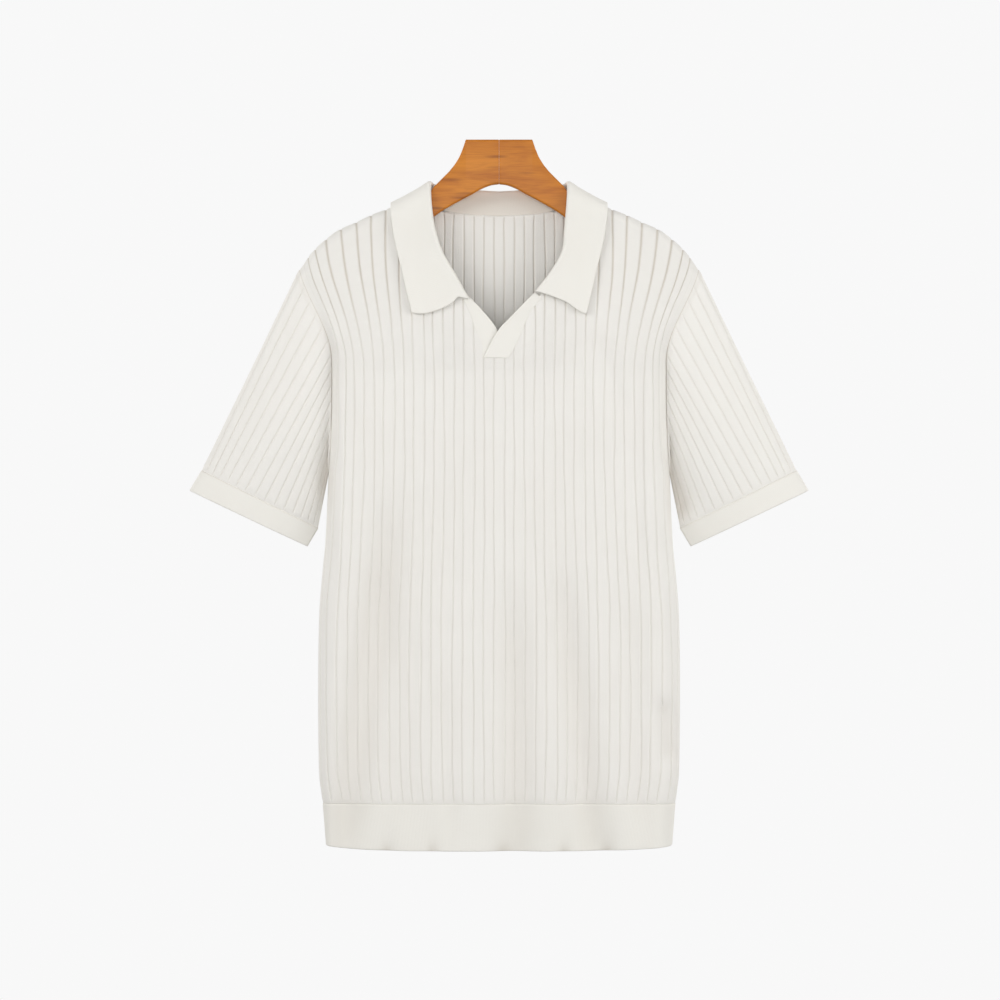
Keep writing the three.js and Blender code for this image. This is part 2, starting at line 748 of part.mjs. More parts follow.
// Point over the upper torso at a reach and a distance down from the shoulder line,
// lifted off the cloth
function overTorso(x, down, lift) {
  const side = down > 0 ? -1 : 1;
  const top = shoulderHeight(x);
  const run = Math.abs(down);
  const turn = Math.PI / 2 - Math.min(run, RIDGE_ARC) / RIDGE_RISE;
  const fall = Math.max(0, run - RIDGE_ARC);
  const drop = RIDGE_RISE + fall;
  const body = fall > 0
    ? depthBelow(side, drop, top - CHEST) + crown(x, UPPER_HALF, fall)
    : RIDGE_DEPTH;
  return new THREE.Vector3(
    x,
    side * (body + lift) * Math.cos(turn),
    top - RIDGE_RISE + (RIDGE_RISE + lift) * Math.sin(turn) - fall,
  );
}

// Centre line of the folded collar at a station along it. It runs across from 0 at
// the base over the fold to 1 at the leaf's edge.
function collarSurface(alongIt, across) {
  const half = alongIt < 0.5 ? alongIt * 2 : (1 - alongIt) * 2;
  const sign = alongIt < 0.5 ? -1 : 1;
  const at = (column) => atRow(COLLAR, column, clamp(half));
  const endShift = sign > 0 ? smooth(1 - half * 3) : 0;
  const foldX = at('foldX') - LEFT_FOLD_IN * endShift;
  const foldZ = at('foldZ') - LEFT_FOLD_DOWN * endShift;
  const fold = new THREE.Vector3(foldX, at('foldY'), foldZ);
  const base = overTorso(at('baseX') + LEFT_BASE_OUT * endShift, at('base'), 0);
  const step = 0.5;
  const foldDown = at('base') * FOLD_OVER_BASE;
  const outAcross = overTorso(fold.x + step, foldDown, 0).sub(overTorso(fold.x - step, foldDown, 0));
  const outDown = overTorso(fold.x, foldDown + step, 0).sub(overTorso(fold.x, foldDown - step, 0));
  const out = outDown.cross(outAcross).normalize();
  const up = fold.clone().sub(base);
  up.addScaledVector(out, -up.dot(out)).normalize();
  const heart = fold.clone().addScaledVector(up, -FOLD_RADIUS);
  let place;
  if (across < STAND_SHARE) {
    const top = heart.clone().addScaledVector(out, -FOLD_RADIUS);
    place = base.clone().lerp(top, across / STAND_SHARE);
  } else if (across < FOLD_SHARE) {
    const turn = Math.PI * (across - STAND_SHARE) / (FOLD_SHARE - STAND_SHARE);
    place = heart.clone()
      .addScaledVector(out, -FOLD_RADIUS * Math.cos(turn))
      .addScaledVector(up, FOLD_RADIUS * Math.sin(turn));
  } else {
    const down = (across - FOLD_SHARE) / (1 - FOLD_SHARE);
    const start = heart.clone().addScaledVector(out, FOLD_RADIUS);
    const x = lerp(fold.x, at('leafX'), down);
    const fromTop = lerp(foldDown, at('leaf'), down);
    const lift = lerp(COLLAR_LIFT, COLLAR_EDGE_LIFT, down);
    const lying = overTorso(x, fromTop, lift);
    const atFold = overTorso(fold.x, foldDown, COLLAR_LIFT);
    place = lying.add(start.sub(atFold).multiplyScalar((1 - down) ** 2));
    place.z -= LEAF_FRONT_BOW * Math.sin(Math.PI * down) * smooth(1 - half * 5);
  }
  place.x *= sign;
  return place;
}

function collar() {
  const stations = plainColumns(COLLAR_STATIONS);
  const normal = (s, q) => normalAt((a, b) => collarSurface(clamp(a), clamp(b)), s, q, 2e-3);
  const side = (lift) => ({
    rows: COLLAR_SHARES,
    columns: stations,
    place: (s, q) => collarSurface(s, q).addScaledVector(normal(s, q), lift),
  });
  return wall(side(PLAIN_KNIT / 2), side(-PLAIN_KNIT / 2));
}

// Neck band as a strip between its inner and outer edge
function neckBand(table) {
  const surface = (across, downIt) => {
    const at = (column) => atRow(table, column, clamp(downIt));
    const x = lerp(at('innerX'), at('outerX'), across);
    const z = lerp(at('innerZ'), at('outerZ'), across);
    const down = shoulderHeight(x) - RIDGE_RISE + RIDGE_ARC - z;
    const place = overTorso(x, down, BAND_LIFT);
    place.y += at('sink');
    return place;
  };
  const outward = table[0].outerX > 0 ? -1 : 1;
  return clothWall(surface, {
    rows: plainColumns(8),
    columns: plainColumns(3),
    thickness: BAND_THICKNESS,
    outward,
  });
}

// One half of the hanger: a bar with chamfered edges
function hangerHalf(sign) {
  const arm = ARM_REACHES.map((reach) => {
    const tipDrop = TIP_DROP * smooth((reach - TIP_FROM) / TIP_LENGTH) ** 2;
    const top = shoulderHeight(reach) - CLOTH - HANGER_CLEARANCE - tipDrop;
    const taper = smooth((reach - ARM_FROM) / (HANGER_TIP - ARM_FROM));
    return { reach, top, bottom: top - lerp(ARM_HEIGHT, ARM_TIP_HEIGHT, taper) };
  });
  const stations = [...HANGER, ...arm];
  const points = [];
  const faces = [];
  stations.forEach((station, index) => {
    const x = sign * Math.max(SEAM_GAP / 2, station.reach);
    const thinArm = station.reach > THIN_FROM ? THIN_ARM : 0;
    const thinTip = index === stations.length - 1 ? THIN_TIP : 0;
    const thick = HANGER_HALF_THICKNESS - thinArm - thinTip;
    const flat = thick - HANGER_EDGE + 0.5;
    const { top, bottom } = station;
    const loop = [
      [-flat, top], [-thick, top - HANGER_EDGE], [-thick, bottom + HANGER_EDGE], [-flat, bottom],
      [flat, bottom], [thick, bottom + HANGER_EDGE], [thick, top - HANGER_EDGE], [flat, top],
    ];
    loop.forEach(([y, z]) => points.push(x, y, z));
  });
  const size = 8;
  for (let s = 0; s < stations.length - 1; s += 1) {
    for (let k = 0; k < size; k += 1) {
      const a = s * size + k;
      const b = s * size + (k + 1) % size;
      faces.push(a, b, b + size, a, b + size, a + size);
    }
  }
  const last = (stations.length - 1) * size;
  for (let k = 1; k < size - 1; k += 1) {
    faces.push(0, k + 1, k, last, last + k, last + k + 1);
  }
  return solid(points, faces);
}

function finish(colour, roughness) {
  return new THREE.MeshStandardMaterial({ color: colour, roughness, metalness: 0 });
}

function piece(name, geometry, colour, roughness = 0.9) {
  const mesh = new THREE.Mesh(geometry, finish(colour, roughness));
  mesh.name = name;
  return mesh;
}

const shirt = new THREE.Group();
const leftSleeve = sleeve();
const leftCuff = cuff();
shirt.add(
  piece('front', bodyPanel(-1), COLOURS.ribKnit),
  piece('back', bodyPanel(1), COLOURS.ribKnit),
  piece('hem_band_front', hemBand(-1), COLOURS.plainKnit),
  piece('hem_band_back', hemBand(1), COLOURS.plainKnit),
  piece('sleeve_left', leftSleeve, COLOURS.ribKnit),
  piece('sleeve_right', mirrored(leftSleeve), COLOURS.ribKnit),
  piece('cuff_left', leftCuff, COLOURS.plainKnit),
  piece('cuff_right', mirrored(leftCuff), COLOURS.plainKnit),
  piece('collar', collar(), COLOURS.plainKnit),
  piece('neck_band_left', neckBand(LEFT_BAND), COLOURS.plainKnit),
  piece('neck_band_right', neckBand(RIGHT_BAND), COLOURS.plainKnit),
);

const hanger = new THREE.Group();
hanger.add(
  piece('hanger_left', hangerHalf(1), COLOURS.wood, 0.45),
  piece('hanger_right', hangerHalf(-1), COLOURS.wood, 0.45),
);

const model = new THREE.Group();
model.add(shirt, hanger);

export default model;
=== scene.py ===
# %% [markdown]
# This is a ribbed knit polo shirt, hung on a slim wooden hanger. It is one soft shell:
# knit cloth about 2 mm thick, which hangs nearly flat over the hanger. The CAD frame
# gives every piece its place, and each piece is made again here with fine detail.
# Lengths in this file are millimetres, as on a pattern cutter's table, and turn into
# metres only when a mesh is made.

# %% Load the frame
import bpy
import numpy as np
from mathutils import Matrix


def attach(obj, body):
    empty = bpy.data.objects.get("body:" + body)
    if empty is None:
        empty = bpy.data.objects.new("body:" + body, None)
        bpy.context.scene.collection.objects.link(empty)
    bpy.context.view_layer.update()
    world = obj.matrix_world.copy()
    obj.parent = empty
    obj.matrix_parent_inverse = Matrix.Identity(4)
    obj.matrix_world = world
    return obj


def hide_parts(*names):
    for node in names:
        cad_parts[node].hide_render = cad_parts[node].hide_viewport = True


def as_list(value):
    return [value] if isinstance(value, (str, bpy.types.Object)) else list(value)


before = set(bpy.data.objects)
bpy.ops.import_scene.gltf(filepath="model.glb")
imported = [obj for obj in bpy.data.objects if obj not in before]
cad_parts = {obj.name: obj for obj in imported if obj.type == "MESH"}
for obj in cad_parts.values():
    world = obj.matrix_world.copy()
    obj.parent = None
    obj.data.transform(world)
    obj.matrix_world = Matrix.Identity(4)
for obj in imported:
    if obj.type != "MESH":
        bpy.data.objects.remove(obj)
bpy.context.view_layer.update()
MM = 0.001

# %% [markdown]
# The camera stands square in front of the shirt, as a catalogue picture is taken. A long
# lens from far away keeps the hem, cuffs and collar at one scale, so the shirt looks as
# flat as cloth on a hanger does. One pixel of the picture is 1.08 mm on the shirt.

# %% Camera
FRAME_WIDTH = 1080
CAMERA_DISTANCE = 4860
VIEW_X, VIEW_HEIGHT = 1, -389
SENSOR = 36
camera_data = bpy.data.cameras.new("studio camera")
camera_data.sensor_width = SENSOR
camera_data.lens = SENSOR * CAMERA_DISTANCE / FRAME_WIDTH
camera = bpy.data.objects.new("studio_camera", camera_data)
camera.location = (VIEW_X * MM, -CAMERA_DISTANCE * MM, VIEW_HEIGHT * MM)
camera.rotation_euler = (np.pi / 2, 0, 0)
bpy.context.collection.objects.link(camera)
bpy.context.scene.camera = camera
print("lens", round(camera_data.lens, 1), "mm")

# %% [markdown]
# A garment is easiest to describe as a pattern cutter does: a few measurements at a few
# heights, with a smooth line through them. So a shape here starts as a short table with
# named columns, and one function draws the curve through it for a whole array at once.

# %% Tables and curves
def table(names, *rows):
    """Rows of numbers as named columns, with their place in the list as "row"."""
    columns = dict(zip(names.split(), np.array(rows, float).T))
    columns["row"] = np.arange(len(rows), dtype=float)
    return columns


def along(rows, key, column, at):
    """Curve through a table. Between two rows it is the cubic that leaves and arrives
    with the slope of the line between each row's two neighbours."""
    place, value = rows[key], rows[column]
    if place[0] > place[-1]:
        place, value = place[::-1], value[::-1]
    before = np.maximum(np.arange(len(place)) - 1, 0)
    after = np.minimum(np.arange(len(place)) + 1, len(place) - 1)
    slope = (value[after] - value[before]) / (place[after] - place[before])
    i = np.clip(np.searchsorted(place, at) - 1, 0, len(place) - 2)
    span = place[i + 1] - place[i]
    t = np.clip((at - place[i]) / span, 0, 1)
    rise = t * t * (3 - 2 * t)
    bend = t * (1 - t) ** 2 * slope[i] + t * t * (t - 1) * slope[i + 1]
    return value[i] + (value[i + 1] - value[i]) * rise + span * bend


def clamp(value):
    """The value, held between 0 and 1."""
    return np.clip(value, 0, 1)


def smooth(value):
    """0 below 0, 1 above 1, and between them 3t^2 - 2t^3, which starts and ends level."""
    t = clamp(value)
    return t * t * (3 - 2 * t)


def lerp(a, b, t):
    """Straight mix: a where t is 0 and b where t is 1."""
    return a + (b - a) * t


def stack(x, y, z):
    """Three arrays of coordinates as one array of points."""
    return np.stack(np.broadcast_arrays(x, y, z), axis=-1)


print("a smooth step a quarter of the way:", float(smooth(0.25)))

# %% [markdown]
# The body is a soft tube. Each height has a half width and a depth to the front and the
# back: flat in front, with a quarter round at each side. Above the chest line the cloth
# leans in to the hanger and rolls over it, and the armhole seam lies a little inside the
# rounded side. The CAD solids are made from nearly the same measurements.

# %% Body measurements
CLOTH = 1.8
HEM_EDGE, HEM_SEAM, UNDERARM, CHEST = -767, -716, -356, -250
BODY_RIBS = 37
RIDGE_DEPTH, RIDGE_RISE = 10.5, 12
SHOULDER_SEAM_ANGLE = 2.2
NECK_WIDTH = 90
ROUND_FROM = 1.8
SHOULDER_TIP = 222
CHEST_BULGE = 3.5

SECTIONS = table(
    "height half front back inset",
    (-767, 186, 19, 18, 0),
    (-716, 190, 22, 20, 0),
    (-680, 194, 24, 21, 0),
    (-520, 194, 25, 22, 0),
    (-440, 188, 26, 23, 0),
    (-356, 184, 26, 24, 0),
    (-325, 184, 26, 24, 3),
    (-250, 184, 26, 24, 4),
    (-200, 189, 26, 24, 9),
    (-140, 195, 26, 24, 15),
    (-40, 195, 26, 24, 15),
)
SHOULDER = table(
    "reach height",
    (0, -50), (70, -52.5), (87, -59.5), (119, -75), (136, -81.5), (153, -89.5),
    (173, -98.5), (185, -107), (195, -115.5), (203, -124), (210, -133),
    (216, -141.5), (222, -151),
)
FRONT_NECK = table(
    "across height",
    (-85, -72), (-81, -87), (-72, -105), (-58, -131), (-46, -153), (-32, -176),
    (-16, -229), (-15, -232), (9, -232), (24.5, -197), (41, -172), (57, -148),
    (70, -122), (75.5, -108), (81, -87), (85, -72),
)
BACK_NECK = table(
    "across height", (0, -81.5), (32, -80), (62, -76.5), (79, -70.5), (85, -66),
)
print("half chest", 2 * SECTIONS["half"].max(), "mm, body ribs", BODY_RIBS)

# %% [markdown]
# Hung knitwear is never quite flat. The weight of the hem pulls long soft folds into the lower
# half, the shoulders pull short ones towards the neck, and the cloth bulges a little between them.
# Each fold is placed as a soft trough between two points, with its own width and depth, because
# simulated cloth would not put them where they are seen. The back has similar ones of its own.

# %% Folds
FRONT_FOLDS = table(
    "from_x from_z to_x to_z width depth",
    (-108, -350, -182, -840, 21, 11),
    (14, -450, 21, -860, 19, 8),
    (60, -430, 112, -850, 17, 8),
    (-171, -170, -172, -480, 8, -3.5),
    (161, -180, 163, -480, 8, -3),
    (-128, -300, -96, -205, 13, 2.5),
    (132, -310, 104, -205, 13, 3),
    (175, -595, 186, -680, 10, 7),
    (-112, -480, -104, -760, 26, 3),
    (-62, -560, -52, -770, 12, 2.2),
    (140, -470, 152, -770, 14, 3),
    (60, -300, 44, -480, 26, 1.2),
    (-60, -330, -48, -520, 26, 1.2),
)
BACK_FOLDS = table(
    "from_x from_z to_x to_z width depth",
    (-140, -480, -156, -730, 15, 4),
    (60, -520, 72, -725, 13, 3),
    (-120, -320, -84, -190, 15, 3.5),
    (124, -330, 88, -190, 15, 3),
    (-52, -560, -40, -740, 16, 2),
    (150, -500, 160, -700, 18, 2.2),
    (10, -240, -6, -420, 24, 1.6),
)
NECK_SAG = dict(depth=14, width=75, height=70, middle=-195)


def neck_sag(side, x, z):
    """Below the neck the back panel hangs forwards: a bell curve across and down."""
    off_x = x / NECK_SAG["width"]
    off_z = (z - NECK_SAG["middle"]) / NECK_SAG["height"]
    return NECK_SAG["depth"] * np.exp(-off_x ** 2 - off_z ** 2) * (side > 0)


def fold_depth(side, x, z):
    """Sum of troughs. Each falls off across its line as a bell curve of its width and
    fades in and out along its length."""
    rows = FRONT_FOLDS if side < 0 else BACK_FOLDS
    total = np.zeros(np.broadcast(x, z).shape)
    for i in range(len(rows["row"])):
        from_x, from_z = rows["from_x"][i], rows["from_z"][i]
        dx, dz = rows["to_x"][i] - from_x, rows["to_z"][i] - from_z
        length = np.hypot(dx, dz)
        down = ((x - from_x) * dx + (z - from_z) * dz) / length ** 2
        off = ((x - from_x) * dz - (z - from_z) * dx) / length
        ends = smooth(down / 0.3) * smooth((1 - down) / 0.25)
        total += rows["depth"][i] * ends * np.exp(-(off / rows["width"][i]) ** 2)
    return total


print(len(FRONT_FOLDS["row"]), "folds in front and", len(BACK_FOLDS["row"]), "behind")

# %% [markdown]
# The cloth from hem to shoulders is one surface, a function of a fraction u across it
# and a height. It could be lofted through a few drawn sections instead, but a function
# lets panels, hem, sleeves and collar share one surface, so that their edges meet.

# %% Sections of the body
def shoulder_height(reach):
    """Height of the shoulder line at a distance from the middle."""
    return along(SHOULDER, "reach", "height", np.minimum(SHOULDER_TIP, np.abs(reach)))


def depth_below(side, drop, full_drop):
    """Depth grows smoothly from the ridge over the hanger to the full depth at the chest."""
    full = along(SECTIONS, "height", "front" if side < 0 else "back", CHEST)
    return lerp(RIDGE_DEPTH, full, smooth((drop - RIDGE_RISE) / (full_drop - RIDGE_RISE)))


def crown(across, half, drop):
    """Bulge of the chest: a parabola across that fades in below the shoulder."""
    return CHEST_BULGE * (1 - (across / half) ** 2) * smooth(drop / 130)


def on_section(u, z, depth):
    """Place at a fraction u of the cloth's width: a flat stretch, then a quarter circle
    whose radius is the depth, walked by its true arc length. The armhole takes its
    width from the outermost fifth alone, so the other ribs run straight up."""
    half = along(SECTIONS, "height", "half", z)
    edge = half - along(SECTIONS, "height", "inset", z)
    flat = half - depth
    edge_turn = np.arcsin(clamp((edge - flat) / depth))
    width = np.where(edge > flat, flat + depth * edge_turn, edge)
    full = flat + depth * np.pi / 2
    run = np.abs(u) * full - (full - width) * clamp((np.abs(u) - 0.8) / 0.2) ** 1.3
    turn = np.maximum(0, run - flat) / depth
    x = np.minimum(run, flat) + depth * np.sin(turn)
    return np.sign(u) * x, depth * np.cos(turn), half


def spread(x, z):
    """The ribs fan outwards above the chest, most near the armhole, and do so in a
    shorter height at the tip of the shoulder."""
    tip = smooth((np.abs(x) - 145) / 35)
    rise = smooth((z + lerp(245, 238, tip)) / lerp(155, 113, tip))
    return x + np.sign(x) * 40 * rise * smooth((np.abs(x) - 81) / 119)


def on_flat(y, depth):
    """1 on the flat of the front or back, 0 at the side edge."""
    return smooth(1.4 * y / depth - 0.4)


def lower_body(side, u, z):
    """The body up to the chest: its section, out by the bulge and in by the folds."""
    depth = along(SECTIONS, "height", "front" if side < 0 else "back", z)
    x, y, half = on_section(u, z, depth)
    bulge = crown(x, half, 130) - fold_depth(side, x, z) - neck_sag(side, x, z)
    return stack(x, side * (y + bulge * on_flat(y, depth)), z)


# %% [markdown]
# The yoke is the cloth above the chest line. It climbs to the hanger and rolls over it.
# A bend modifier would stretch the ribs there, so each column is walked here by its true
# length: straight up, then round the hanger, to the shoulder seam or to the cut neck.

# %% Yoke and panels
def column_top(u):
    """Height at which a rib reaches the shoulder line, found by four repeats."""
    z = np.full(np.shape(u), -100.0)
    for _ in range(4):
        z = shoulder_height(spread(on_section(u, z, RIDGE_DEPTH)[0], z))
    return z


def yoke(side, u, run):
    """Above the chest a column climbs straight for its run, then turns over the hanger."""
    top = column_top(u)
    straight = top - RIDGE_RISE - CHEST
    rise = np.minimum(run, straight)
    turn = np.maximum(0, run - straight) / RIDGE_RISE
    z = CHEST + rise + RIDGE_RISE * np.sin(turn)
    drop = top - (CHEST + rise)
    depth = depth_below(side, drop, top - CHEST)
    x, y, half = on_section(u, CHEST + rise, depth)
    sunk = (fold_depth(side, x, z) + neck_sag(side, x, z)) * smooth(drop / 60 - 0.3)
    bulge = (crown(x, half, drop - RIDGE_RISE) - sunk) * on_flat(y, depth)
    return stack(spread(x, z), side * (y * np.cos(turn) + bulge), z)


def seam_angle(side):
    """Turn over the hanger where a panel ends. The two turns add up to a half circle."""
    return SHOULDER_SEAM_ANGLE if side < 0 else np.pi - SHOULDER_SEAM_ANGLE


def yoke_run(side, u):
    """Length of each column: to the cut neck inside, to the shoulder seam outside."""
    straight = column_top(u) - RIDGE_RISE - CHEST
    seam = straight + RIDGE_RISE * seam_angle(side)
    x = yoke(side, u, straight)[..., 0]
    rows = FRONT_NECK if side < 0 else BACK_NECK
    edge = rows["across"][-1]
    across = np.clip(x if side < 0 else np.abs(x), -edge, edge)
    cut = np.interp(across, rows["across"], rows["height"]) - CHEST
    near = smooth((np.abs(x) - edge) / (NECK_WIDTH - edge))
    return np.where(np.abs(x) >= NECK_WIDTH, seam, lerp(cut, seam, near))


def panel(side, u, row):
    """Points of a body panel. Row 0 is the hem seam, 1 the chest line and 2 the shoulder
    seam or cut neck; the turn over the hanger takes the last fifth."""
    lower = lower_body(side, u, lerp(HEM_SEAM, CHEST, np.minimum(row, 1)))
    straight = column_top(u) - RIDGE_RISE - CHEST
    turn = RIDGE_RISE * seam_angle(side)
    turn_share = turn / (straight + turn)
    share = np.where(
        row < ROUND_FROM,
        (1 - turn_share) * (row - 1) / (ROUND_FROM - 1),
        1 - turn_share * (2 - row) / (2 - ROUND_FROM),
    )
    upper = yoke(side, u, np.maximum(share, 0) * yoke_run(side, u))
    return np.where(np.atleast_1d(row)[..., None] <= 1, lower, upper)


print("shoulder tips", 2 * SHOULDER_TIP, "mm apart")

# %% [markdown]
# A mesh piece is a closed shell: an outer and an inner grid of points, joined round the
# rims. The inner grid may be coarser, to save triangles where nobody looks, and then
# each rim face spans several outer points. Faces point outwards. Every point also gets
# its place on the flat cloth, in metres, as the UV map, so that knit follows the cloth.

# %% Shell meshes
def normals(points, ring=False):
    """Unit normals of a grid: the cross product of its two directions."""
    wide = points
    if ring:
        wide = np.concatenate([points[:, -2:-1], points, points[:, 1:2]], axis=1)
    across = np.gradient(wide, axis=1)
    up = np.gradient(wide, axis=0)
    n = np.cross(across, up)
    n /= np.maximum(np.linalg.norm(n, axis=-1, keepdims=True), 1e-9)
    return n[:, 1:-1] if ring else n


def quads(ids):
    """All quads of a grid of point numbers, row by row."""
    corners = [ids[:-1, :-1], ids[:-1, 1:], ids[1:, 1:], ids[1:, :-1]]
    return np.stack([c.ravel() for c in corners], axis=1)


def rim(outer, inner):
    """Faces between two edge lines. The outer has a whole number of points for each
    inner one, so each face takes two inner points and every outer point between."""
    step = (len(outer) - 1) // (len(inner) - 1)
    spans = [outer[k:len(outer) - step + k:step] for k in range(step, -1, -1)]
    return np.stack(spans + [inner[:-1], inner[1:]], axis=1)


def flat_place(across, up):
    """Place on the flat cloth of each point of a grid, in mm."""
    return np.stack(np.broadcast_arrays(across, up), -1)


print("faces in a grid of 3 by 3 points:", len(quads(np.arange(9).reshape(3, 3))))

# %% [markdown]
# One function turns any such pair of grids into an object. Blender's Solidify modifier
# could make the inner wall, but it would copy every rib of the outer one, and the walls
# of a knit differ. A tube has its last column on its first, so those points are joined.

# %% Make a piece
def make_piece(name, outer, inner, uv, groove, ring=False, row_step=1):
    """Mesh object from an outer grid and every row_step-th row of an inner one. groove
    is how shaded each point is, from 0 to 1, and is kept as an attribute."""
    rows, cols = outer.shape[:2]
    inner = inner[::row_step]
    outer_id = np.arange(rows * cols).reshape(rows, cols)
    inner_id = rows * cols + np.arange(inner[..., 0].size).reshape(inner.shape[:2])
    faces = [quads(outer_id), quads(inner_id)[:, ::-1]]
    faces.append(rim(outer_id[0], inner_id[0]))
    faces.append(rim(outer_id[-1], inner_id[-1])[:, ::-1])
    if not ring:
        faces.append(rim(outer_id[:, 0], inner_id[:, 0])[:, ::-1])
        faces.append(rim(outer_id[:, -1], inner_id[:, -1]))
    points = np.concatenate([outer.reshape(-1, 3), inner.reshape(-1, 3)])
    flat = np.concatenate([uv.reshape(-1, 2), uv[::row_step].reshape(-1, 2)])
    home = np.arange(len(points))
    if ring:
        home[outer_id[:, -1]] = outer_id[:, 0]
        home[inner_id[:, -1]] = inner_id[:, 0]
    used, place = np.unique(home, return_inverse=True)
    mesh = bpy.data.meshes.new(name)
    polygons = [face for part in faces for face in place[part].tolist()]
    mesh.from_pydata(points[used] * MM, [], polygons)
    loops = np.concatenate([part.ravel() for part in faces])
    layer = mesh.uv_layers.new(name="cloth")
    layer.data.foreach_set("uv", (flat[loops] * MM).ravel())
    shade = np.concatenate([groove.ravel(), groove[::row_step].ravel()])[used]
    # The groove attribute carries each point's painted shade, read by the knit materials.
    mesh.attributes.new("groove", "FLOAT", "POINT").data.foreach_set("value", shade)
    mesh.polygons.foreach_set("use_smooth", np.ones(len(mesh.polygons), bool))
    mesh.update()
    piece = bpy.data.objects.new(name, mesh)
    bpy.context.collection.objects.link(piece)
    triangles = sum(len(part) * (part.shape[1] - 2) for part in faces)
    print(name, triangles, "triangles")
    return piece


def place_piece(piece, material, slot, *nodes):
    """The piece gets its material, rides on the one body and stands for its CAD nodes."""
    piece.data.materials.append(material)
    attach(piece, "root")
    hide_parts(*nodes)
    return piece


# %% [markdown]
# Colours are given as on screen, in hex, and turned to the linear values that a shader
# works with. A small function adds a node to a material, with its settings and links,
# so that each material below reads as a list of what the surface is made of.

# %% Colour and node helpers
def linear(hex_colour):
    """sRGB hex to linear: below 0.04045 a line, above it a power of 2.4."""
    parts = np.array([int(hex_colour[i:i + 2], 16) for i in (1, 3, 5)]) / 255
    low = parts / 12.92
    high = ((parts + 0.055) / 1.055) ** 2.4
    return (*np.where(parts <= 0.04045, low, high).tolist(), 1)


def add(material, kind, settings=None, **inputs):
    """New node of a kind. Settings are its own fields, inputs its sockets by name or
    number: a value is set on the socket and a socket is linked to it."""
    node = material.node_tree.nodes.new("ShaderNode" + kind)
    for key, value in (settings or {}).items():
        setattr(node, key, value)
    for key, value in inputs.items():
        numbered = key[1:].isdigit()
        socket = node.inputs[int(key[1:]) if numbered else key.replace("_", " ")]
        if isinstance(value, bpy.types.NodeSocket):
            material.node_tree.links.new(value, socket)
        else:
            socket.default_value = value
    return node


def new_material(name):
    """Material with no nodes yet."""
    material = bpy.data.materials.new(name)
    material.use_nodes = True
    material.node_tree.nodes.clear()
    return material


TIMES = {"operation": "MULTIPLY"}
TIMES_PLUS = {"operation": "MULTIPLY_ADD"}
COLOURS = {"data_type": "RGBA"}
print("ivory #eceae5 in linear values:", np.round(linear("#eceae5"), 3))

# %% [markdown]
# The shirt is a cotton rib knit. Knit shows as rows of small V-shaped loops: columns of them
# (wales) about 1.5 mm apart and rows (courses) about 1.1 mm apart. From a distance they are too
# fine to count, so a bump from a few math nodes does for them, where loops of real yarn would need
# millions of faces. The yarn's loose fibres catch light at grazing angles, which is the sheen. Down
# in a groove between ribs, where little light reaches the yarn, the shade is painted into the
# colour as a darker, warmer tone, and so is the shade in folds and creases.

# %% Knit materials
WALE, COURSE = 1.5, 1.1


def knit(name, light, shade, painted_shade_tone, stitch_height):
    """Stitch height: a V made by shifting each course by its distance from the wale's middle, times
    a dip between wales. Colour: a slow cloudy mix of two yarn tones, then the darker, warmer
    painted shade tone as far as the groove attribute asks. That attribute holds the painted shade
    in grooves, folds and creases. The UV map is in metres, so 1000 / WALE counts the wales."""
    material = new_material(name)
    where = add(material, "UVMap", {"uv_map": "cloth"})
    parts = add(material, "SeparateXYZ", Vector=where.outputs["UV"])
    wales = add(material, "Math", TIMES, _0=parts.outputs["X"], _1=1000 / WALE)
    courses = add(material, "Math", TIMES, _0=parts.outputs["Y"], _1=1000 / COURSE)
    off = add(material, "Math", {"operation": "PINGPONG"}, _0=wales.outputs[0], _1=0.5)
    slant = add(material, "Math", TIMES_PLUS, _0=off.outputs[0], _1=1.4,
                _2=courses.outputs[0])
    turn = add(material, "Math", TIMES, _0=slant.outputs[0], _1=2 * np.pi)
    loop = add(material, "Math", {"operation": "SINE"}, _0=turn.outputs[0])
    dip = add(material, "Math", {"operation": "POWER"}, _0=off.outputs[0], _1=0.6)
    height = add(material, "Math", TIMES_PLUS, _0=loop.outputs[0], _1=0.3,
                 _2=dip.outputs[0])
    fuzz = add(material, "TexNoise", Vector=where.outputs["UV"], Scale=900.0, Detail=3.0)
    rough = add(material, "Math", TIMES_PLUS, _0=fuzz.outputs[0], _1=0.5,
                _2=height.outputs[0])
    bump = add(material, "Bump", Height=rough.outputs[0], Strength=0.35,
               Distance=stitch_height * MM)
    cloud = add(material, "TexNoise", Vector=where.outputs["UV"], Scale=14.0, Detail=4.0,
                Roughness=0.6)
    tone = add(material, "Mix", COLOURS, Factor=cloud.outputs[0],
               _6=linear(light), _7=linear(shade))
    # Painted shade: the groove attribute mixes in the darker, warmer shade tone.
    groove = add(material, "Attribute", {"attribute_name": "groove"})
    shaded_tone = add(material, "Mix", COLOURS, Factor=groove.outputs["Fac"],
               _6=tone.outputs[2], _7=linear(painted_shade_tone))
    yarn = add(material, "BsdfPrincipled", Base_Color=shaded_tone.outputs[2], Normal=bump.outputs[0],
               Roughness=0.88, Sheen_Weight=0.12, Sheen_Roughness=0.5)
    yarn.inputs["Sheen Tint"].default_value = linear("#fffaf0")
    yarn.inputs["Specular IOR Level"].default_value = 0.25
    add(material, "OutputMaterial", Surface=yarn.outputs[0])
    return material


# The third colour of each knit is its painted shade tone.
rib_knit = knit("ivory cotton rib knit", "#eceae5", "#e8e5df", "#cfc7bc", 0.5)
plain_knit = knit("ivory cotton plain knit", "#ebe9e3", "#e7e4dc", "#c8c0b4", 0.35)
print("materials:", rib_knit.name, "and", plain_knit.name)

# %% [markdown]
# Each body panel is knitted in wide flat ribs with a thin sharp groove between them. The
# relief is worked out from the distance to the nearest groove, and the mesh has most of
# its columns there, so that the groove stays crisp without many triangles. A bump map
# would be cheaper, but the grooves have to show in the outline and in the mesh. On a real
# knit the ribs are never quite even, so each groove line also wanders a little.

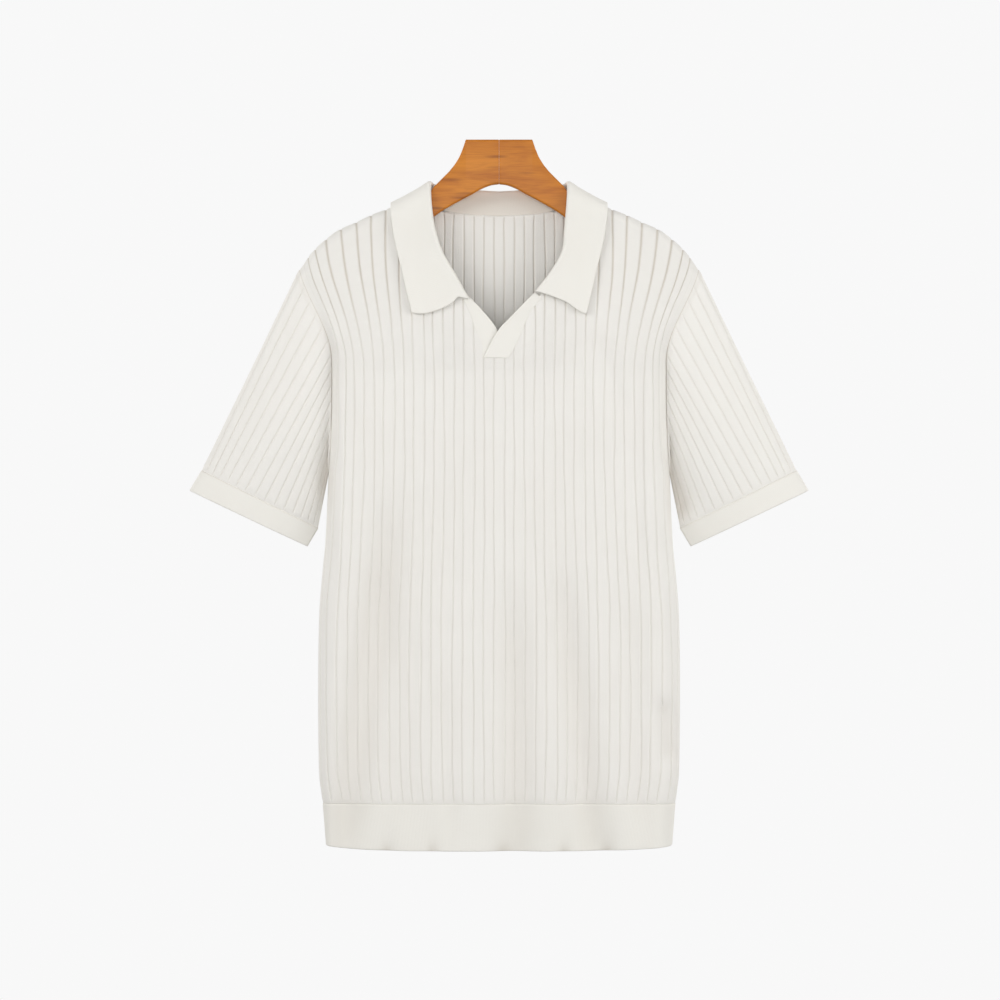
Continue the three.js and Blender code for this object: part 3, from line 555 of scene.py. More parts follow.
# %% Ribs
RIB_HEIGHT = 0.95
GROOVE_WIDTH = 0.72
RIB_PLACES = np.array([0, 0.045, 0.09, 0.14, 0.22, 0.4, 0.6, 0.78, 0.86, 0.91, 0.955])


def rib_columns(ribs):
    """Fractions of the width: eleven columns for each rib, close together at its edges."""
    return np.append((np.arange(ribs)[:, None] + RIB_PLACES).ravel() / ribs, 1)


def groove_depth(column, ribs, pitch):
    """1 in the middle of a groove, falling off as a bell curve across it."""
    phase = column * ribs
    off = np.abs(phase - np.round(phase)) * pitch
    return np.exp(-(off / GROOVE_WIDTH) ** 2)


def wander(column, ribs, z):
    """Small sideways shift of a groove line, in mm: its own offset for each groove and a
    slow wave down its length, blended along the rib between two grooves."""
    phase = column * ribs
    low = np.floor(phase)
    t = phase - low

    def shift(line):
        slow = 0.55 * np.sin(2.399 * line) + 0.45 * np.sin(z / 47 + 1.7 * line)
        return slow + 0.3 * np.sin(z / 19 + 2.9 * line)

    return lerp(shift(low), shift(low + 1), t) * smooth(np.minimum(phase, ribs - phase) / 2)


print("columns of points for one rib:", len(RIB_PLACES))

# %% [markdown]
# The front and the back are knitted to shape, from the hem seam to the shoulder seam,
# with the neck cut out of them. A displaced plane would need millions of faces for such
# thin grooves, so each panel is a grid whose columns follow the ribs. The groove is
# shaded by its own depth, most on the yoke, and so are the folds below the chest.

# %% Body panels
PANEL_ROWS = np.concatenate([
    [0, 0.002, 0.006],
    np.linspace(0.012, 1, 72),
    np.linspace(1, ROUND_FROM, 36)[1:],
    np.linspace(ROUND_FROM, 2, 17)[1:],
])
PANEL_COLUMNS = rib_columns(BODY_RIBS)
PANEL_WIDTH = 390
RIB_PITCH = PANEL_WIDTH / BODY_RIBS
YOKE_LENGTH = 170
# Strength of the painted shade in grooves on the chest and on each yoke, and in a full fold.
GROOVE_SHADE = 0.26
YOKE_SHADE = {-1: 1.0, 1: 0.75}
FOLD_SHADE, FULL_FOLD = 0.22, 9


def fold_shade(side, base):
    """Shade down in a fold: it grows with the depth up to that of a full fold."""
    return FOLD_SHADE * clamp(fold_depth(side, base[..., 0], base[..., 2]) / FULL_FOLD)


def body_panel(name, side, node):
    """Panel surface with its ribs moved out along the normals, and its inner wall in."""
    column = PANEL_COLUMNS[None, :]
    row = PANEL_ROWS[:, None]
    base = panel(side, -side * (2 * column - 1), row)
    base[..., 0] += wander(column, BODY_RIBS, base[..., 2]) * smooth((2 - row) / 0.3)
    n = normals(base)
    groove = groove_depth(column, BODY_RIBS, RIB_PITCH) * np.ones_like(row)
    from_edge = np.minimum(column, 1 - column) * PANEL_WIDTH
    from_seam = np.minimum(row * (CHEST - HEM_SEAM), (2 - row) * YOKE_LENGTH)
    plain_strip = smooth((base[..., 2] + 460) / 60)
    fade = smooth(from_edge / lerp(5, 26, plain_strip)) ** 2 * smooth(from_seam / 5)
    outer = base + n * (RIB_HEIGHT * (1 - groove) * fade)[..., None]
    inner = base - n * (CLOTH - 0.9 * groove * fade)[..., None]
    uv = flat_place(column * PANEL_WIDTH, row * (CHEST - HEM_SEAM))
    # Painted shade in the grooves, strongest on the yoke, and down in the folds below the chest.
    strength = lerp(GROOVE_SHADE, YOKE_SHADE[side], smooth((base[..., 2] + 225) / 90))
    painted_fold_shade = fold_shade(side, base) * smooth((CHEST - base[..., 2]) / 60)
    shade = np.maximum(groove * strength * fade, painted_fold_shade)
    piece = make_piece(name, outer, inner, uv, shade, row_step=5)
    return place_piece(piece, rib_knit, "rib_knit", node)


front_panel = body_panel("front_panel", -1, "front")
back_panel = body_panel("back_panel", 1, "back")
print("a groove every", round(RIB_PITCH, 1), "mm")

# %% [markdown]
# The hem is a band of plain knit, linked to the body's last ribs. It is thicker than the
# body, its lower edge is a soft fold, and it ripples a little because the body's ribs
# pull in above it. It could be a strip with a thickness modifier, but it is worked out on
# the body's own surface, so that the long folds run on into it.

# %% Hem bands
PLAIN_KNIT = 2.2
BAND_EDGE, BAND_PROUD = 1.2, 0.6
HEM_CORNER = 6
HEM_RIPPLES = table(
    "across width depth",
    (-121, 12, 3.6), (-72, 10, 3), (4, 14, 4), (70, 10, 3), (116, 11, 3.6),
)


def rounded_rows(length, radius, between):
    """Fractions of a length with three steps of a quarter round at each end."""
    steps = radius * (1 - np.cos(np.radians([0, 30, 60, 90]))) / length
    middle = np.linspace(steps[-1], 1 - steps[-1], between)[1:-1]
    return np.concatenate([steps, middle, (1 - steps)[::-1]])


def roundness(distance, radius):
    """Half thickness of a rounded edge as a share: the height of a quarter circle."""
    t = clamp(distance / radius)
    return 0.15 + 0.85 * np.sqrt(1 - (1 - t) ** 2)


def band_walls(base, n, from_edge):
    """Outer and inner wall of a band that stands a little proud of its seam line, with
    rounded edges."""
    half = PLAIN_KNIT / 2 * roundness(from_edge, BAND_EDGE)
    outer = base + n * (half - PLAIN_KNIT / 2 + BAND_PROUD)[..., None]
    inner = base - n * (half + PLAIN_KNIT / 2 - BAND_PROUD)[..., None]
    return outer, inner


def hem_band(name, side, node):
    """Band on the body's surface, with each ripple a bell curve that grows downwards."""
    length = HEM_SEAM - HEM_EDGE
    row = rounded_rows(length, BAND_EDGE, 24)[:, None]
    column = np.linspace(0, 1, 181)[None, :]
    u = -side * (2 * column - 1)
    z = lerp(HEM_EDGE + HEM_CORNER * np.abs(u) ** 4, HEM_SEAM, row)
    base = lower_body(side, u, z)
    # Painted shade at the foot of each ripple and down in the folds, with a fine shaded line along
    # the seam.
    ripple_shade = np.zeros(z.shape)
    for i in range(len(HEM_RIPPLES["row"])):
        off = (base[..., 0] + side * HEM_RIPPLES["across"][i]) / HEM_RIPPLES["width"][i]
        ripple = np.exp(-off ** 2)
        base[..., 1] -= side * HEM_RIPPLES["depth"][i] * ripple * (1 - row) ** 1.5
        ripple_shade += 0.5 * ripple ** 3 * (1 - row) ** 8
    n = normals(base)
    outer, inner = band_walls(base, n, np.minimum(row, 1 - row) * length)
    uv = flat_place(column * PANEL_WIDTH, row * length)
    seam = 0.18 * np.exp(-((1 - row) * length / 1.0) ** 2) * np.ones_like(column)
    shade = np.maximum(seam, ripple_shade + fold_shade(side, base))
    piece = make_piece(name, outer, inner, uv, shade)
    return place_piece(piece, plain_knit, "plain_knit", node)


hem_front = hem_band("hem_band_front_knit", -1, "hem_band_front")
hem_back = hem_band("hem_band_back_knit", 1, "hem_band_back")

# %% [markdown]
# A set-in sleeve is a flattened tube from the armhole to the cuff. Its first ring lies on
# the edge of the two body panels, its last one is a flat oval seen edge on, and the
# cloth puffs out a little between them. The seam allowance is turned into the sleeve and
# shows as a soft welt along the armhole. A bent cylinder would be quicker to make, but
# its end would not meet the panels.

# %% Sleeves
SLEEVE_RIBS = 30
SLEEVE_PITCH, SLEEVE_LENGTH = 9, 150
PUFF, VALLEY = 7, 7
CUFF_DEPTH = 17
SLEEVE_END = dict(outer_x=321, outer_z=-357, inner_x=195.5, inner_z=-419)
CUFF_END = dict(outer_x=334, outer_z=-379, inner_x=207.5, inner_z=-439)
UNDERARM_ROW = (UNDERARM - HEM_SEAM) / (CHEST - HEM_SEAM)
ARMHOLE_ROWS = np.append(UNDERARM_ROW, PANEL_ROWS[PANEL_ROWS > UNDERARM_ROW])


def armhole(share):
    """Ring on the panels' own edge lines. Share 0 and 1 are the shoulder seam and 0.5 is
    the underarm, and the front comes first."""
    ring = np.zeros((*share.shape, 3))
    halves = ((-1, share < 0.5, 1 - 2 * share), (1, share >= 0.5, 2 * share - 1))
    for side, chosen, up in halves:
        line = panel(side, np.array([[1.0]]), ARMHOLE_ROWS[:, None])[:, 0]
        run = np.append(0, np.cumsum(np.linalg.norm(np.diff(line, axis=0), axis=1)))
        at = clamp(up) * run[-1]
        for axis in range(3):
            edge = np.interp(at, run, line[:, axis])
            ring[..., axis] = np.where(chosen, edge, ring[..., axis])
    return ring


def across_ring(share):
    """0 at the outer end of a flattened ring and 1 at its inner end, on either side."""
    return np.where(share < 0.5, share, 1 - share) * 2


def flat_ring(end, depth, share):
    """Flattened oval: across from the outer to the inner end, deep by a power of the sine."""
    in_front = share < 0.5
    across = across_ring(share)
    turn = np.pi * across
    slide = lerp((1 - np.cos(turn)) / 2, across, 0.55)
    y = depth * clamp(np.sin(turn)) ** lerp(0.6, 1.15, smooth(across))
    return stack(lerp(end["outer_x"], end["inner_x"], slide), np.where(in_front, -y, y),
                 lerp(end["outer_z"], end["inner_z"], slide))


def beside(sign, row):
    """How much of the crease next to the body is left down the sleeve: the wearer's left
    sleeve keeps it to the cuff and the right one loses it half way."""
    return smooth((1.05 - row) / 0.3) if sign > 0 else smooth((0.8 - row) / 0.5)


def sleeve_base(share, row, sign):
    """Blend of the armhole and the flat oval, puffed out by a sine each way, with a
    valley next to the body in front."""
    ring = lerp(armhole(share), flat_ring(SLEEVE_END, CUFF_DEPTH, share), row[..., None])
    across = across_ring(share)
    puff = PUFF * np.sin(np.pi * row) * np.sin(np.pi * across)
    valley = VALLEY * smooth((across - 0.64) / 0.22) * smooth((1 - across) / 0.12)
    valley = valley * smooth(row / 0.15) * beside(sign, row)
    ring[..., 1] += np.where(share < 0.5, valley - puff, puff)
    return ring


def sleeve(name, sign, node):
    """Ribbed tube. The welt along the armhole is a bell curve, and the creases beside it
    and beside the body are shaded."""
    row = rounded_rows(SLEEVE_LENGTH, 1.0, 56)[:, None]
    column = rib_columns(SLEEVE_RIBS)[None, :]
    share = column if sign > 0 else 1 - column
    base = sleeve_base(share, row, sign)
    base[..., 0] *= sign
    n = normals(base, ring=True)
    length = np.linalg.norm(base[-1] - base[0], axis=-1)
    from_seam = np.minimum(row, 1 - row) * length
    groove = groove_depth(column, SLEEVE_RIBS, SLEEVE_PITCH) * np.ones_like(row)
    fade = smooth(from_seam / 5)
    run = row * length
    # Painted shade in the creases at the armhole seam and on the slope next to the body, and in the
    # grooves.
    inwards = smooth((across_ring(share) - 0.74) / 0.2)
    shade_beside_body = 0.6 * inwards * smooth(run / 10) * beside(sign, row)
    welt = 1.1 * np.exp(-((run - 3.2) / 1.8) ** 2)
    crease = 0.8 * np.exp(-(run / 1.0) ** 2) + 0.3 * np.exp(-((run - 6.5) / 1.2) ** 2)
    outer = base + n * (RIB_HEIGHT * (1 - groove) * fade + welt)[..., None]
    inner = base - n * (CLOTH - 0.8 * groove * fade)[..., None]
    uv = flat_place(column * SLEEVE_PITCH * SLEEVE_RIBS, row * SLEEVE_LENGTH)
    shade = np.maximum(0.25 * groove * fade, np.maximum(crease, shade_beside_body))
    piece = make_piece(name, outer, inner, uv, shade, ring=True)
    return place_piece(piece, rib_knit, "rib_knit", node)


sleeve_left = sleeve("left_sleeve", 1, "sleeve_left")
sleeve_right = sleeve("right_sleeve", -1, "sleeve_right")

# %% [markdown]
# The cuff is a short tube of plain knit that finishes the sleeve. It could be the last
# rows of the sleeve's mesh, but the real one is knitted apart and linked on, so it has
# its own thickness, rounded edges and a fine shaded line at the seam.

# %% Cuffs
CUFF_LENGTH, CUFF_ROUND = 26, 290


def cuff(name, sign, node):
    """Straight blend between the flat ovals at the sleeve's end and the cuff's end."""
    row = rounded_rows(CUFF_LENGTH, BAND_EDGE, 14)[:, None]
    column = np.linspace(0, 1, 129)[None, :]
    share = column if sign > 0 else 1 - column
    start = flat_ring(SLEEVE_END, CUFF_DEPTH, share)
    end = flat_ring(CUFF_END, CUFF_DEPTH - 1, share)
    base = lerp(start, end, row[..., None])
    base[..., 0] *= sign
    n = normals(base, ring=True)
    outer, inner = band_walls(base, n, np.minimum(row, 1 - row) * CUFF_LENGTH)
    uv = flat_place(column * CUFF_ROUND, row * CUFF_LENGTH)
    seam = 0.35 * np.exp(-(row * CUFF_LENGTH / 1.0) ** 2) * np.ones_like(column)
    piece = make_piece(name, outer, inner, uv, seam, ring=True)
    return place_piece(piece, plain_knit, "plain_knit", node)


cuff_left = cuff("left_cuff", 1, "cuff_left")
cuff_right = cuff("right_cuff", -1, "cuff_right")

# %% [markdown]
# The collar is one strip of plain knit. From its base on the neck it stands up, folds
# over a small radius and lies down over the shoulders as the leaf. It is drawn as a
# cross-section (stand, half circle, leaf) that is carried along the neck, with the fold,
# base and leaf edge of each station from a table.

# %% Collar measurements
COLLAR_LENGTH, COLLAR_WIDTH = 430, 86
COLLAR = table(
    "right_x left_x fold_y right_z left_z right_base left_base right_run left_run leaf_x leaf",
    (33, 39.5, -26, -173, -165, 41, 45, 129.5, 123.5, 94, 135),
    (48, 54.5, -24, -146, -146, 52, 58, 104, 103, 100, 106),
    (61.5, 68, -21, -122, -122, 66, 70, 83, 80, 105, 80),
    (69.5, 71, -18.5, -97, -97, 74, 75, 50, 50, 110.5, 55),
    (73.5, 73.5, -14.5, -70, -70, 83, 83, 24, 24, 115, 30),
    (74, 74, -2, -48, -48, 86, 86, 0, 0, 117, 3),
    (69, 69, 11, -48.5, -48.5, 80, 80, -21, -21, 114, -24),
    (50, 50, 17, -51, -51, 56, 56, -32.5, -32.5, 88, -52),
    (25, 25, 19, -54, -54, 28, 28, -37, -37, 46, -70),
    (0, 0, 19.5, -55.5, -55.5, 0, 0, -38.5, -38.5, 0, -75),
)
LEAF_END = table(
    "down right left",
    (0, 0, 0), (0.1, 1.5, -0.2), (0.17, 1.7, -0.5), (0.25, -3, -0.8), (0.46, -8.5, -1.6),
    (0.7, -9, -2.4), (0.85, -4, -1.6), (0.95, 0.5, 0), (1, 3, 1.8),
)
COLLAR_LIFT, COLLAR_EDGE_LIFT = 3.6, 5.5
FOLD_RADIUS = 2
STAND_SHARE, FOLD_SHARE = 0.3, 0.42
print("collar", COLLAR_LENGTH, "mm long and", COLLAR_WIDTH, "mm wide before it is folded")

# %% [markdown]
# A collar could be draped by cloth simulation, but its fold would then fall where the
# solver likes. Here its fold line and leaf edge are placed, and the leaf lies on the
# yoke at a small lift. The last function joins stand, half circle and leaf.

# %% Collar surface
def over_torso(x, down, lift):
    """Point above the upper body: round over the hanger for the first quarter turn, then
    down the front or back, lifted off the cloth."""
    top = shoulder_height(x)
    run = np.abs(down)
    arc = RIDGE_RISE * np.pi / 2
    turn = np.pi / 2 - np.minimum(run, arc) / RIDGE_RISE
    fall = np.maximum(0, run - arc)
    drop = RIDGE_RISE + fall
    body = np.where(down > 0, depth_below(-1, drop, top - CHEST), depth_below(1, drop, top - CHEST))
    body = np.where(fall > 0, body + crown(x, 190, fall), RIDGE_DEPTH)
    side = np.where(down > 0, -1, 1)
    return stack(x, side * (body + lift) * np.cos(turn),
                 top - RIDGE_RISE + (RIDGE_RISE + lift) * np.sin(turn) - fall)


def unit(v):
    """Vectors divided by their own length."""
    return v / np.maximum(np.linalg.norm(v, axis=-1, keepdims=True), 1e-9)


def collar_base(station, across):
    """Centre of the cloth at a station along the collar and a share across it."""
    half = np.where(station < 0.5, station * 2, (1 - station) * 2)
    sign = np.where(station < 0.5, -1, 1)

    def at(column):
        """The table's column at these stations."""
        return along(COLLAR, "row", column, clamp(half) * COLLAR["row"][-1])

    def own(column):
        """The left half's column or the right half's."""
        return np.where(sign > 0, at("left_" + column), at("right_" + column))

    fold = stack(own("x"), at("fold_y"), own("z"))
    base = over_torso(own("base"), own("run"), 0)
    fold_x, fold_down = fold[..., 0], own("run") * 0.95
    out_across = over_torso(fold_x + 0.5, fold_down, 0) - over_torso(fold_x - 0.5, fold_down, 0)
    out_down = over_torso(fold_x, fold_down + 0.5, 0) - over_torso(fold_x, fold_down - 0.5, 0)
    out = unit(np.cross(out_down, out_across))
    up = fold - base
    up = unit(up - out * np.sum(up * out, axis=-1, keepdims=True))
    heart = fold - up * FOLD_RADIUS
    share = across[..., None]
    stand = lerp(base, heart - out * FOLD_RADIUS, share / STAND_SHARE)
    turn = np.pi * clamp((share - STAND_SHARE) / (FOLD_SHARE - STAND_SHARE))
    folded = heart + FOLD_RADIUS * (up * np.sin(turn) - out * np.cos(turn))
    down = clamp((across - FOLD_SHARE) / (1 - FOLD_SHARE))
    lying = over_torso(lerp(fold_x, at("leaf_x"), down), lerp(fold_down, at("leaf"), down),
                       lerp(COLLAR_LIFT, COLLAR_EDGE_LIFT, down))
    start = heart + out * FOLD_RADIUS - over_torso(fold_x, fold_down, COLLAR_LIFT)
    leaf = lying + start * (1 - down[..., None]) ** 2
    end = np.where(sign > 0, along(LEAF_END, "down", "left", down),
                   along(LEAF_END, "down", "right", down))
    leaf[..., 2] += end * smooth(1 - half * 5)
    place = np.where(share < STAND_SHARE, stand, np.where(share < FOLD_SHARE, folded, leaf))
    place[..., 0] *= sign
    return place


# %% [markdown]
# The two shares run along and across the knitted strip. Points are set close together at its ends,
# its edges and the fold, where the surface turns fastest. An even grid as fine would have several
# times as many faces. Behind the neck the stand gets painted shade, darker and warmer, because
# light only reaches it off the cloth around it.

# %% Make the collar
def collar(name, node):
    """Strip of even thickness about its middle surface, with rounded edges."""
    ends = rounded_rows(2, 0.004, 3)[:4]
    station = np.concatenate([ends, np.linspace(0.006, 0.994, 153), 1 - ends[::-1]])
    across = np.concatenate([
        [0, 0.004, 0.01], np.linspace(0.02, STAND_SHARE, 12),
        np.linspace(STAND_SHARE, FOLD_SHARE, 13)[1:],
        np.linspace(FOLD_SHARE, 0.985, 30)[1:], [0.991, 0.996, 1],
    ])
    s, q = np.meshgrid(station, across)
    base = collar_base(s, q)
    n = normals(base)
    edge = np.minimum(np.minimum(q, 1 - q) * COLLAR_WIDTH,
                      np.minimum(s, 1 - s) * COLLAR_LENGTH)
    half = (PLAIN_KNIT / 2 * roundness(edge, BAND_EDGE))[..., None]
    uv = flat_place(s * COLLAR_LENGTH, q * COLLAR_WIDTH)
    # Painted shade, darker and warmer, on the stand behind the neck.
    stand_shade = 0.5 * (1 - smooth((q - 0.2) / 0.12)) * smooth(2.4 - np.abs(s - 0.5) * 8)
    piece = make_piece(name, base + n * half, base - n * half, uv, stand_shade)
    return place_piece(piece, plain_knit, "plain_knit", node)


collar_piece = collar("folded_collar", "collar")

# %% [markdown]
# The V opening is finished with two plain strips, one along each side. The wearer's left
# strip lies over the right one at the point of the V. They could be cut out of the
# panel's mesh, but each is laid on the body between two lines from a table, because
# those lines set where its edges are seen. Sink lets one strip pass under the other.

# %% Neck bands
RIGHT_BAND = table(
    "inner_x inner_z outer_x outer_z sink",
    (-36.5, -166, -38, -175, 0),
    (-21.7, -181, -31.5, -189, 0),
    (-8.2, -196.5, -26.5, -204, 1),
    (-1, -209, -21.3, -220, 2.8),
    (-3, -229, -18.8, -236, 3.2),
)
LEFT_BAND = table(
    "inner_x inner_z outer_x outer_z sink",
    (38.5, -165.5, 46, -172, 0),
    (27.4, -176.4, 36, -184, 0),
    (13, -191.7, 29, -197, -0.5),
    (-1.3, -207.6, 22.5, -214, -0.9),
    (-17, -236.5, 10.5, -237, -0.9),
)


BAND_LENGTH, BAND_WIDTH, BAND_LIFT = 80, 20, 1.3


def neck_band(name, rows, node):
    """Strip between its inner and outer line, laid on the torso and lifted off it."""
    down = rounded_rows(BAND_LENGTH, 1.0, 40)[:, None]
    across = rounded_rows(BAND_WIDTH, 1.0, 16)[None, :]
    if rows["outer_x"][0] < 0:
        across = across[:, ::-1]

    def at(column):
        """The table's column down the strip."""
        return along(rows, "row", column, down * rows["row"][-1])

    x = lerp(at("inner_x"), at("outer_x"), across)
    z = lerp(at("inner_z"), at("outer_z"), across)
    fall = shoulder_height(x) - RIDGE_RISE + RIDGE_RISE * np.pi / 2 - z
    base = over_torso(x, fall, BAND_LIFT)
    inwards = np.linspace(1, 0, across.size)[None, :]
    base[..., 1] += at("sink") * (inwards if rows["outer_x"][0] > 0 else inwards[:, ::-1])
    base = base[::-1]
    n = normals(base)
    edge = np.minimum(np.minimum(down, 1 - down) * BAND_LENGTH,
                      np.minimum(across, 1 - across) * BAND_WIDTH)[::-1]
    half = roundness(edge, 1.0)
    uv = flat_place(across * BAND_WIDTH, down * BAND_LENGTH)
    outer = base + n * (half - 1)[..., None]
    inner = base - n * (half + 1)[..., None]
    piece = make_piece(name, outer, inner, uv, np.zeros(edge.shape))
    return place_piece(piece, plain_knit, "plain_knit", node)


band_right = neck_band("right_neck_band", RIGHT_BAND, "neck_band_right")
band_left = neck_band("left_neck_band", LEFT_BAND, "neck_band_left")

# %% [markdown]
# The hanger is two pieces of hardwood glued at the middle, cut to shape, rounded along
# their edges and varnished. A curve with a bevel would do for an even bar. This one is
# tall at the neck and slim at the tips, so its top and bottom lines come from a table,
# with a rounded cross-section carried along it.

# %% Hanger
HANGER = table(
    "reach top bottom",
    (0, 0, -48), (8, 0, -49), (15, 0, -51.4), (21, 0, -54.2), (28, 0, -58.3),
    (36, 0, -62.5), (39, -9, -64), (43, -19, -66.3),
    (48, -27, -69), (54, -34.5, -72.5), (61, -41.5, -76.5), (70, -50.5, -83),
    (78, -61, -90), (86, -68, -95), (93, -69, -99.5),
)
HANGER_TIP, TIP_ROUND = 176, 6
HANGER_EDGE, HALF_THICK = 2.4, 5.5


def hanger_wood(name):
    """Noise stretched along the bar mixes two browns. Its figure is about 70 mm long and
    10 mm wide, and the pores about 17 mm by 1 to 2 mm. A few cells are darkened as small
    knots, and a thin coat stands for the varnish."""
    material = new_material(name)
    where = add(material, "TexCoord")
    turned = add(material, "Mapping", Vector=where.outputs["Object"],
                 Rotation=(0, 0.42, 0), Scale=(9, 40, 60))
    grain = add(material, "TexNoise", Vector=turned.outputs[0], Scale=1.6, Detail=6.0,
                Roughness=0.6, Distortion=0.6)
    fine = add(material, "Mapping", Vector=where.outputs["Object"],
               Rotation=(0, 0.42, 0), Scale=(60, 500, 900))
    pores = add(material, "TexNoise", Vector=fine.outputs[0], Scale=1.0, Detail=2.0)
    both = add(material, "Math", TIMES_PLUS, _0=pores.outputs[0], _1=0.35,
               _2=grain.outputs[0])
    share = add(material, "MapRange", Value=both.outputs[0], _1=0.45, _2=0.95)
    tone = add(material, "Mix", COLOURS, Factor=share.outputs[0],
               _6=linear("#c97d20"), _7=linear("#a3590f"))
    cells = add(material, "TexVoronoi", Vector=turned.outputs[0], Scale=2.2)
    near = add(material, "MapRange", Value=cells.outputs["Distance"], _1=0.3, _2=0.05, _4=0.7)
    knots = add(material, "Mix", COLOURS, Factor=near.outputs[0],
                _6=tone.outputs[2], _7=linear("#7d400c"))
    bump = add(material, "Bump", Height=both.outputs[0], Strength=0.15, Distance=0.2 * MM)
    varnish = add(material, "BsdfPrincipled", Base_Color=knots.outputs[2], Normal=bump.outputs[0],
                  Roughness=0.45, Coat_Weight=0.05, Coat_Roughness=0.25, Specular_IOR_Level=0.3)
    add(material, "OutputMaterial", Surface=varnish.outputs[0])
    return material


wood = hanger_wood("satin varnished hardwood")


def hanger_lines(reach):
    """Top and bottom of the bar: straight between the table's points out to the arm,
    then under the shoulder line, tapering to the tip."""
    under = shoulder_height(reach) - CLOTH - 1.2 - 8 * smooth((reach - 160) / 24) ** 2
    taper = smooth((reach - 78) / (HANGER_TIP - 78))
    arm = smooth((reach - 93) / 8)
    top = lerp(np.interp(reach, HANGER["reach"], HANGER["top"]), under, arm)
    bottom = lerp(along(HANGER, "reach", "bottom", reach), under - lerp(34, 22, taper), arm)
    return top, bottom


def hanger_half(name, sign, node):
    """Rounded rectangle carried outwards: four quarter circles, one for each
    corner. At the tip it closes as a quarter round, and at the glue joint it has a
    slight chamfer."""
    tip = HANGER_TIP - TIP_ROUND * (1 - np.sin(np.radians([0, 15, 30, 45, 60, 75, 87])))
    reach = np.concatenate([[0.05, 0.25, 0.6], np.linspace(1.5, 34, 18), np.linspace(35, 40, 8),
                            np.linspace(41, 168, 80), tip])
    top, bottom = hanger_lines(reach)
    past = clamp((reach - HANGER_TIP + TIP_ROUND) / TIP_ROUND)
    end = np.sqrt(np.maximum(0.02, 1 - past ** 2))
    chamfer = 0.35 * np.exp(-(reach / 0.4) ** 2)
    half_thick = (HALF_THICK - smooth((reach - 140) / 20)) * end - chamfer
    half_tall = (top - bottom) / 2 * end - chamfer
    radius = np.minimum(HANGER_EDGE, 0.8 * half_thick)
    quarter = np.linspace(0, 90, 8)[None, :]
    turn = np.radians(quarter + np.array([0, 90, 180, 270])[:, None]).ravel()
    corner_y = np.repeat([1, -1, -1, 1], 8)
    corner_z = np.repeat([1, 1, -1, -1], 8)
    y = corner_y * (half_thick - radius)[:, None] + radius[:, None] * np.cos(turn)
    z = corner_z * (half_tall - radius)[:, None] + radius[:, None] * np.sin(turn)
    rings = stack(sign * reach[:, None], y, ((top + bottom) / 2)[:, None] + z)
    ids = np.arange(rings[..., 0].size).reshape(rings.shape[:2])
    faces = quads(np.concatenate([ids, ids[:, :1]], axis=1))
    caps = [ids[0][::-1], ids[-1]]
    if sign < 0:
        faces, caps = faces[:, ::-1], [cap[::-1] for cap in caps]
    mesh = bpy.data.meshes.new(name)
    polygons = faces.tolist() + [cap.tolist() for cap in caps]
    mesh.from_pydata(rings.reshape(-1, 3) * MM, [], polygons)
    rounded = np.append(np.ones(len(faces), bool), [False, False])
    mesh.polygons.foreach_set("use_smooth", rounded)
    mesh.update()
    piece = bpy.data.objects.new(name, mesh)
    bpy.context.collection.objects.link(piece)
    print(name, 2 * len(faces), "triangles")
    return place_piece(piece, wood, "wood", node)


hanger_left = hanger_half("left_hanger_half", 1, "hanger_left")
hanger_right = hanger_half("right_hanger_half", -1, "hanger_right")
print("hanger", 2 * HANGER_TIP, "mm wide")

# %% [markdown]
# Each knitted piece is also a flat thing before it is sewn. Its flat size is what a
# knitter would work to, measured along the cloth as it hangs here.

# %% Sheets of cloth
for piece, width, length, area, hung_from in (
    (front_panel, 0.390, 0.640, 0.218, [hanger_left, hanger_right]),
    (back_panel, 0.390, 0.640, 0.232, [hanger_left, hanger_right]),
    (hem_front, 0.385, 0.051, None, [front_panel]),
    (hem_back, 0.385, 0.051, None, [back_panel]),
    (sleeve_left, 0.400, 0.230, 0.055, [front_panel, back_panel]),
    (sleeve_right, 0.400, 0.230, 0.055, [front_panel, back_panel]),
    (cuff_left, 0.290, 0.026, None, [sleeve_left]),
    (cuff_right, 0.290, 0.026, None, [sleeve_right]),
    (collar_piece, 0.430, 0.086, None, [front_panel, back_panel]),
    (band_right, 0.080, 0.022, 0.0011, [front_panel]),
    (band_left, 0.085, 0.028, 0.0016, [front_panel]),
):
    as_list(hung_from)
    print(piece.name, "flat:", width, "x", length, "m")

# %% [markdown]
# The shirt hangs free in a white studio. The backdrop and the floor, well below the hem,
# are one even white. A photographer lights such a backdrop apart from the garment, so
# the camera sees them whiter here than the light that they throw on the cloth. Lamps
# with hard edges would draw sharp shadows in every groove. A large soft light at each
# side shapes the folds, one in front fills the shadows, and two behind light the back.

# %% Stage and light
STUDIO_WHITE = 0.94
SOFT_WHITE = 0.455
FLOOR_HALF, FLOOR_HEIGHT = 40, -1.2
SHIRT_MIDDLE = (0, 0, -0.4)


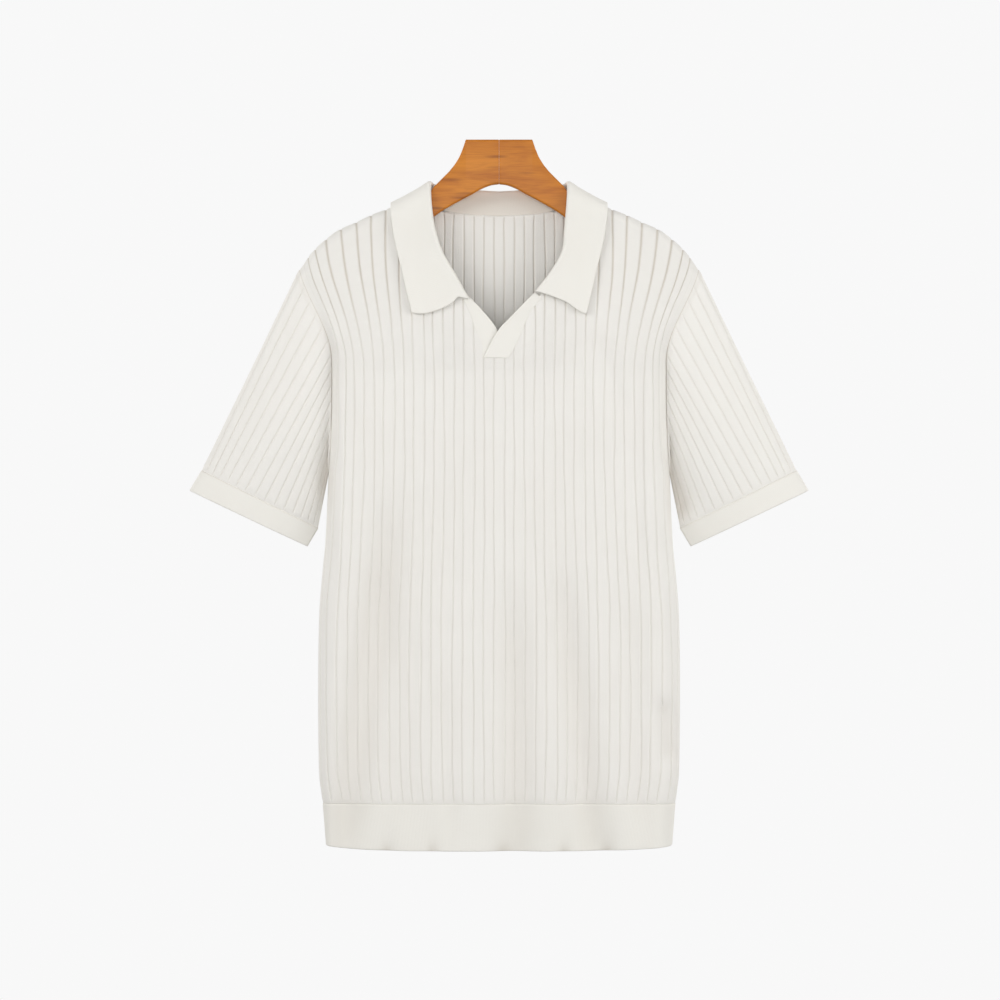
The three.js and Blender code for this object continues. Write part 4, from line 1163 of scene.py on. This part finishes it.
def studio_white(owner, kind, output):
    """White that is STUDIO_WHITE where the camera sees it and SOFT_WHITE as light."""
    seen = add(owner, "LightPath")
    level = add(owner, "MapRange", Value=seen.outputs["Is Camera Ray"],
                _3=SOFT_WHITE, _4=STUDIO_WHITE)
    glow = add(owner, kind, Color=(1, 1, 1, 1), Strength=level.outputs[0])
    add(owner, output, Surface=glow.outputs[0])


world = bpy.data.worlds.new("studio")
world.use_nodes = True
world.node_tree.nodes.clear()
studio_white(world, "Background", "OutputWorld")
bpy.context.scene.world = world

floor_paper = new_material("white paper floor")
studio_white(floor_paper, "Emission", "OutputMaterial")
floor_mesh = bpy.data.meshes.new("studio floor")
corners = [(x * FLOOR_HALF, y * FLOOR_HALF, FLOOR_HEIGHT)
           for x, y in ((-1, -1), (1, -1), (1, 1), (-1, 1))]
floor_mesh.from_pydata(corners, [], [(0, 1, 2, 3)])
floor = bpy.data.objects.new("studio_floor", floor_mesh)
floor.data.materials.append(floor_paper)
bpy.context.collection.objects.link(floor)


def facing(direction):
    """Turn that points a light's -Z along a direction: down to it, then round to it."""
    x, y, z = direction
    return (np.arctan2(np.hypot(x, y), -z), 0, np.arctan2(-x, y))


def soft_light(name, place, size, power):
    """Square area light in metres and watts, turned to face the middle of the shirt."""
    data = bpy.data.lights.new(name, "AREA")
    data.shape, data.size, data.energy = "SQUARE", size, power
    light = bpy.data.objects.new(name, data)
    light.location = place
    light.rotation_euler = facing(np.array(SHIRT_MIDDLE) - np.array(place))
    light.visible_camera = False
    bpy.context.collection.objects.link(light)
    print(name, power, "W")


soft_light("left softbox", (-2.7, -2.1, 1.0), 2.0, 49)
soft_light("right softbox", (2.9, -1.7, 0.2), 2.0, 44)
soft_light("front fill", (0.1, -4.6, -0.1), 1.6, 50)
soft_light("back softbox left", (-2.4, 2.6, 0.8), 2.0, 46)
soft_light("back softbox right", (2.4, 2.6, 0.8), 2.0, 46)

# %% [markdown]
# The picture is shown with plain screen colours, so the hex values above are what the cloth looks
# like in even light.

# %% Screen colours
bpy.context.scene.view_settings.view_transform = "Standard"
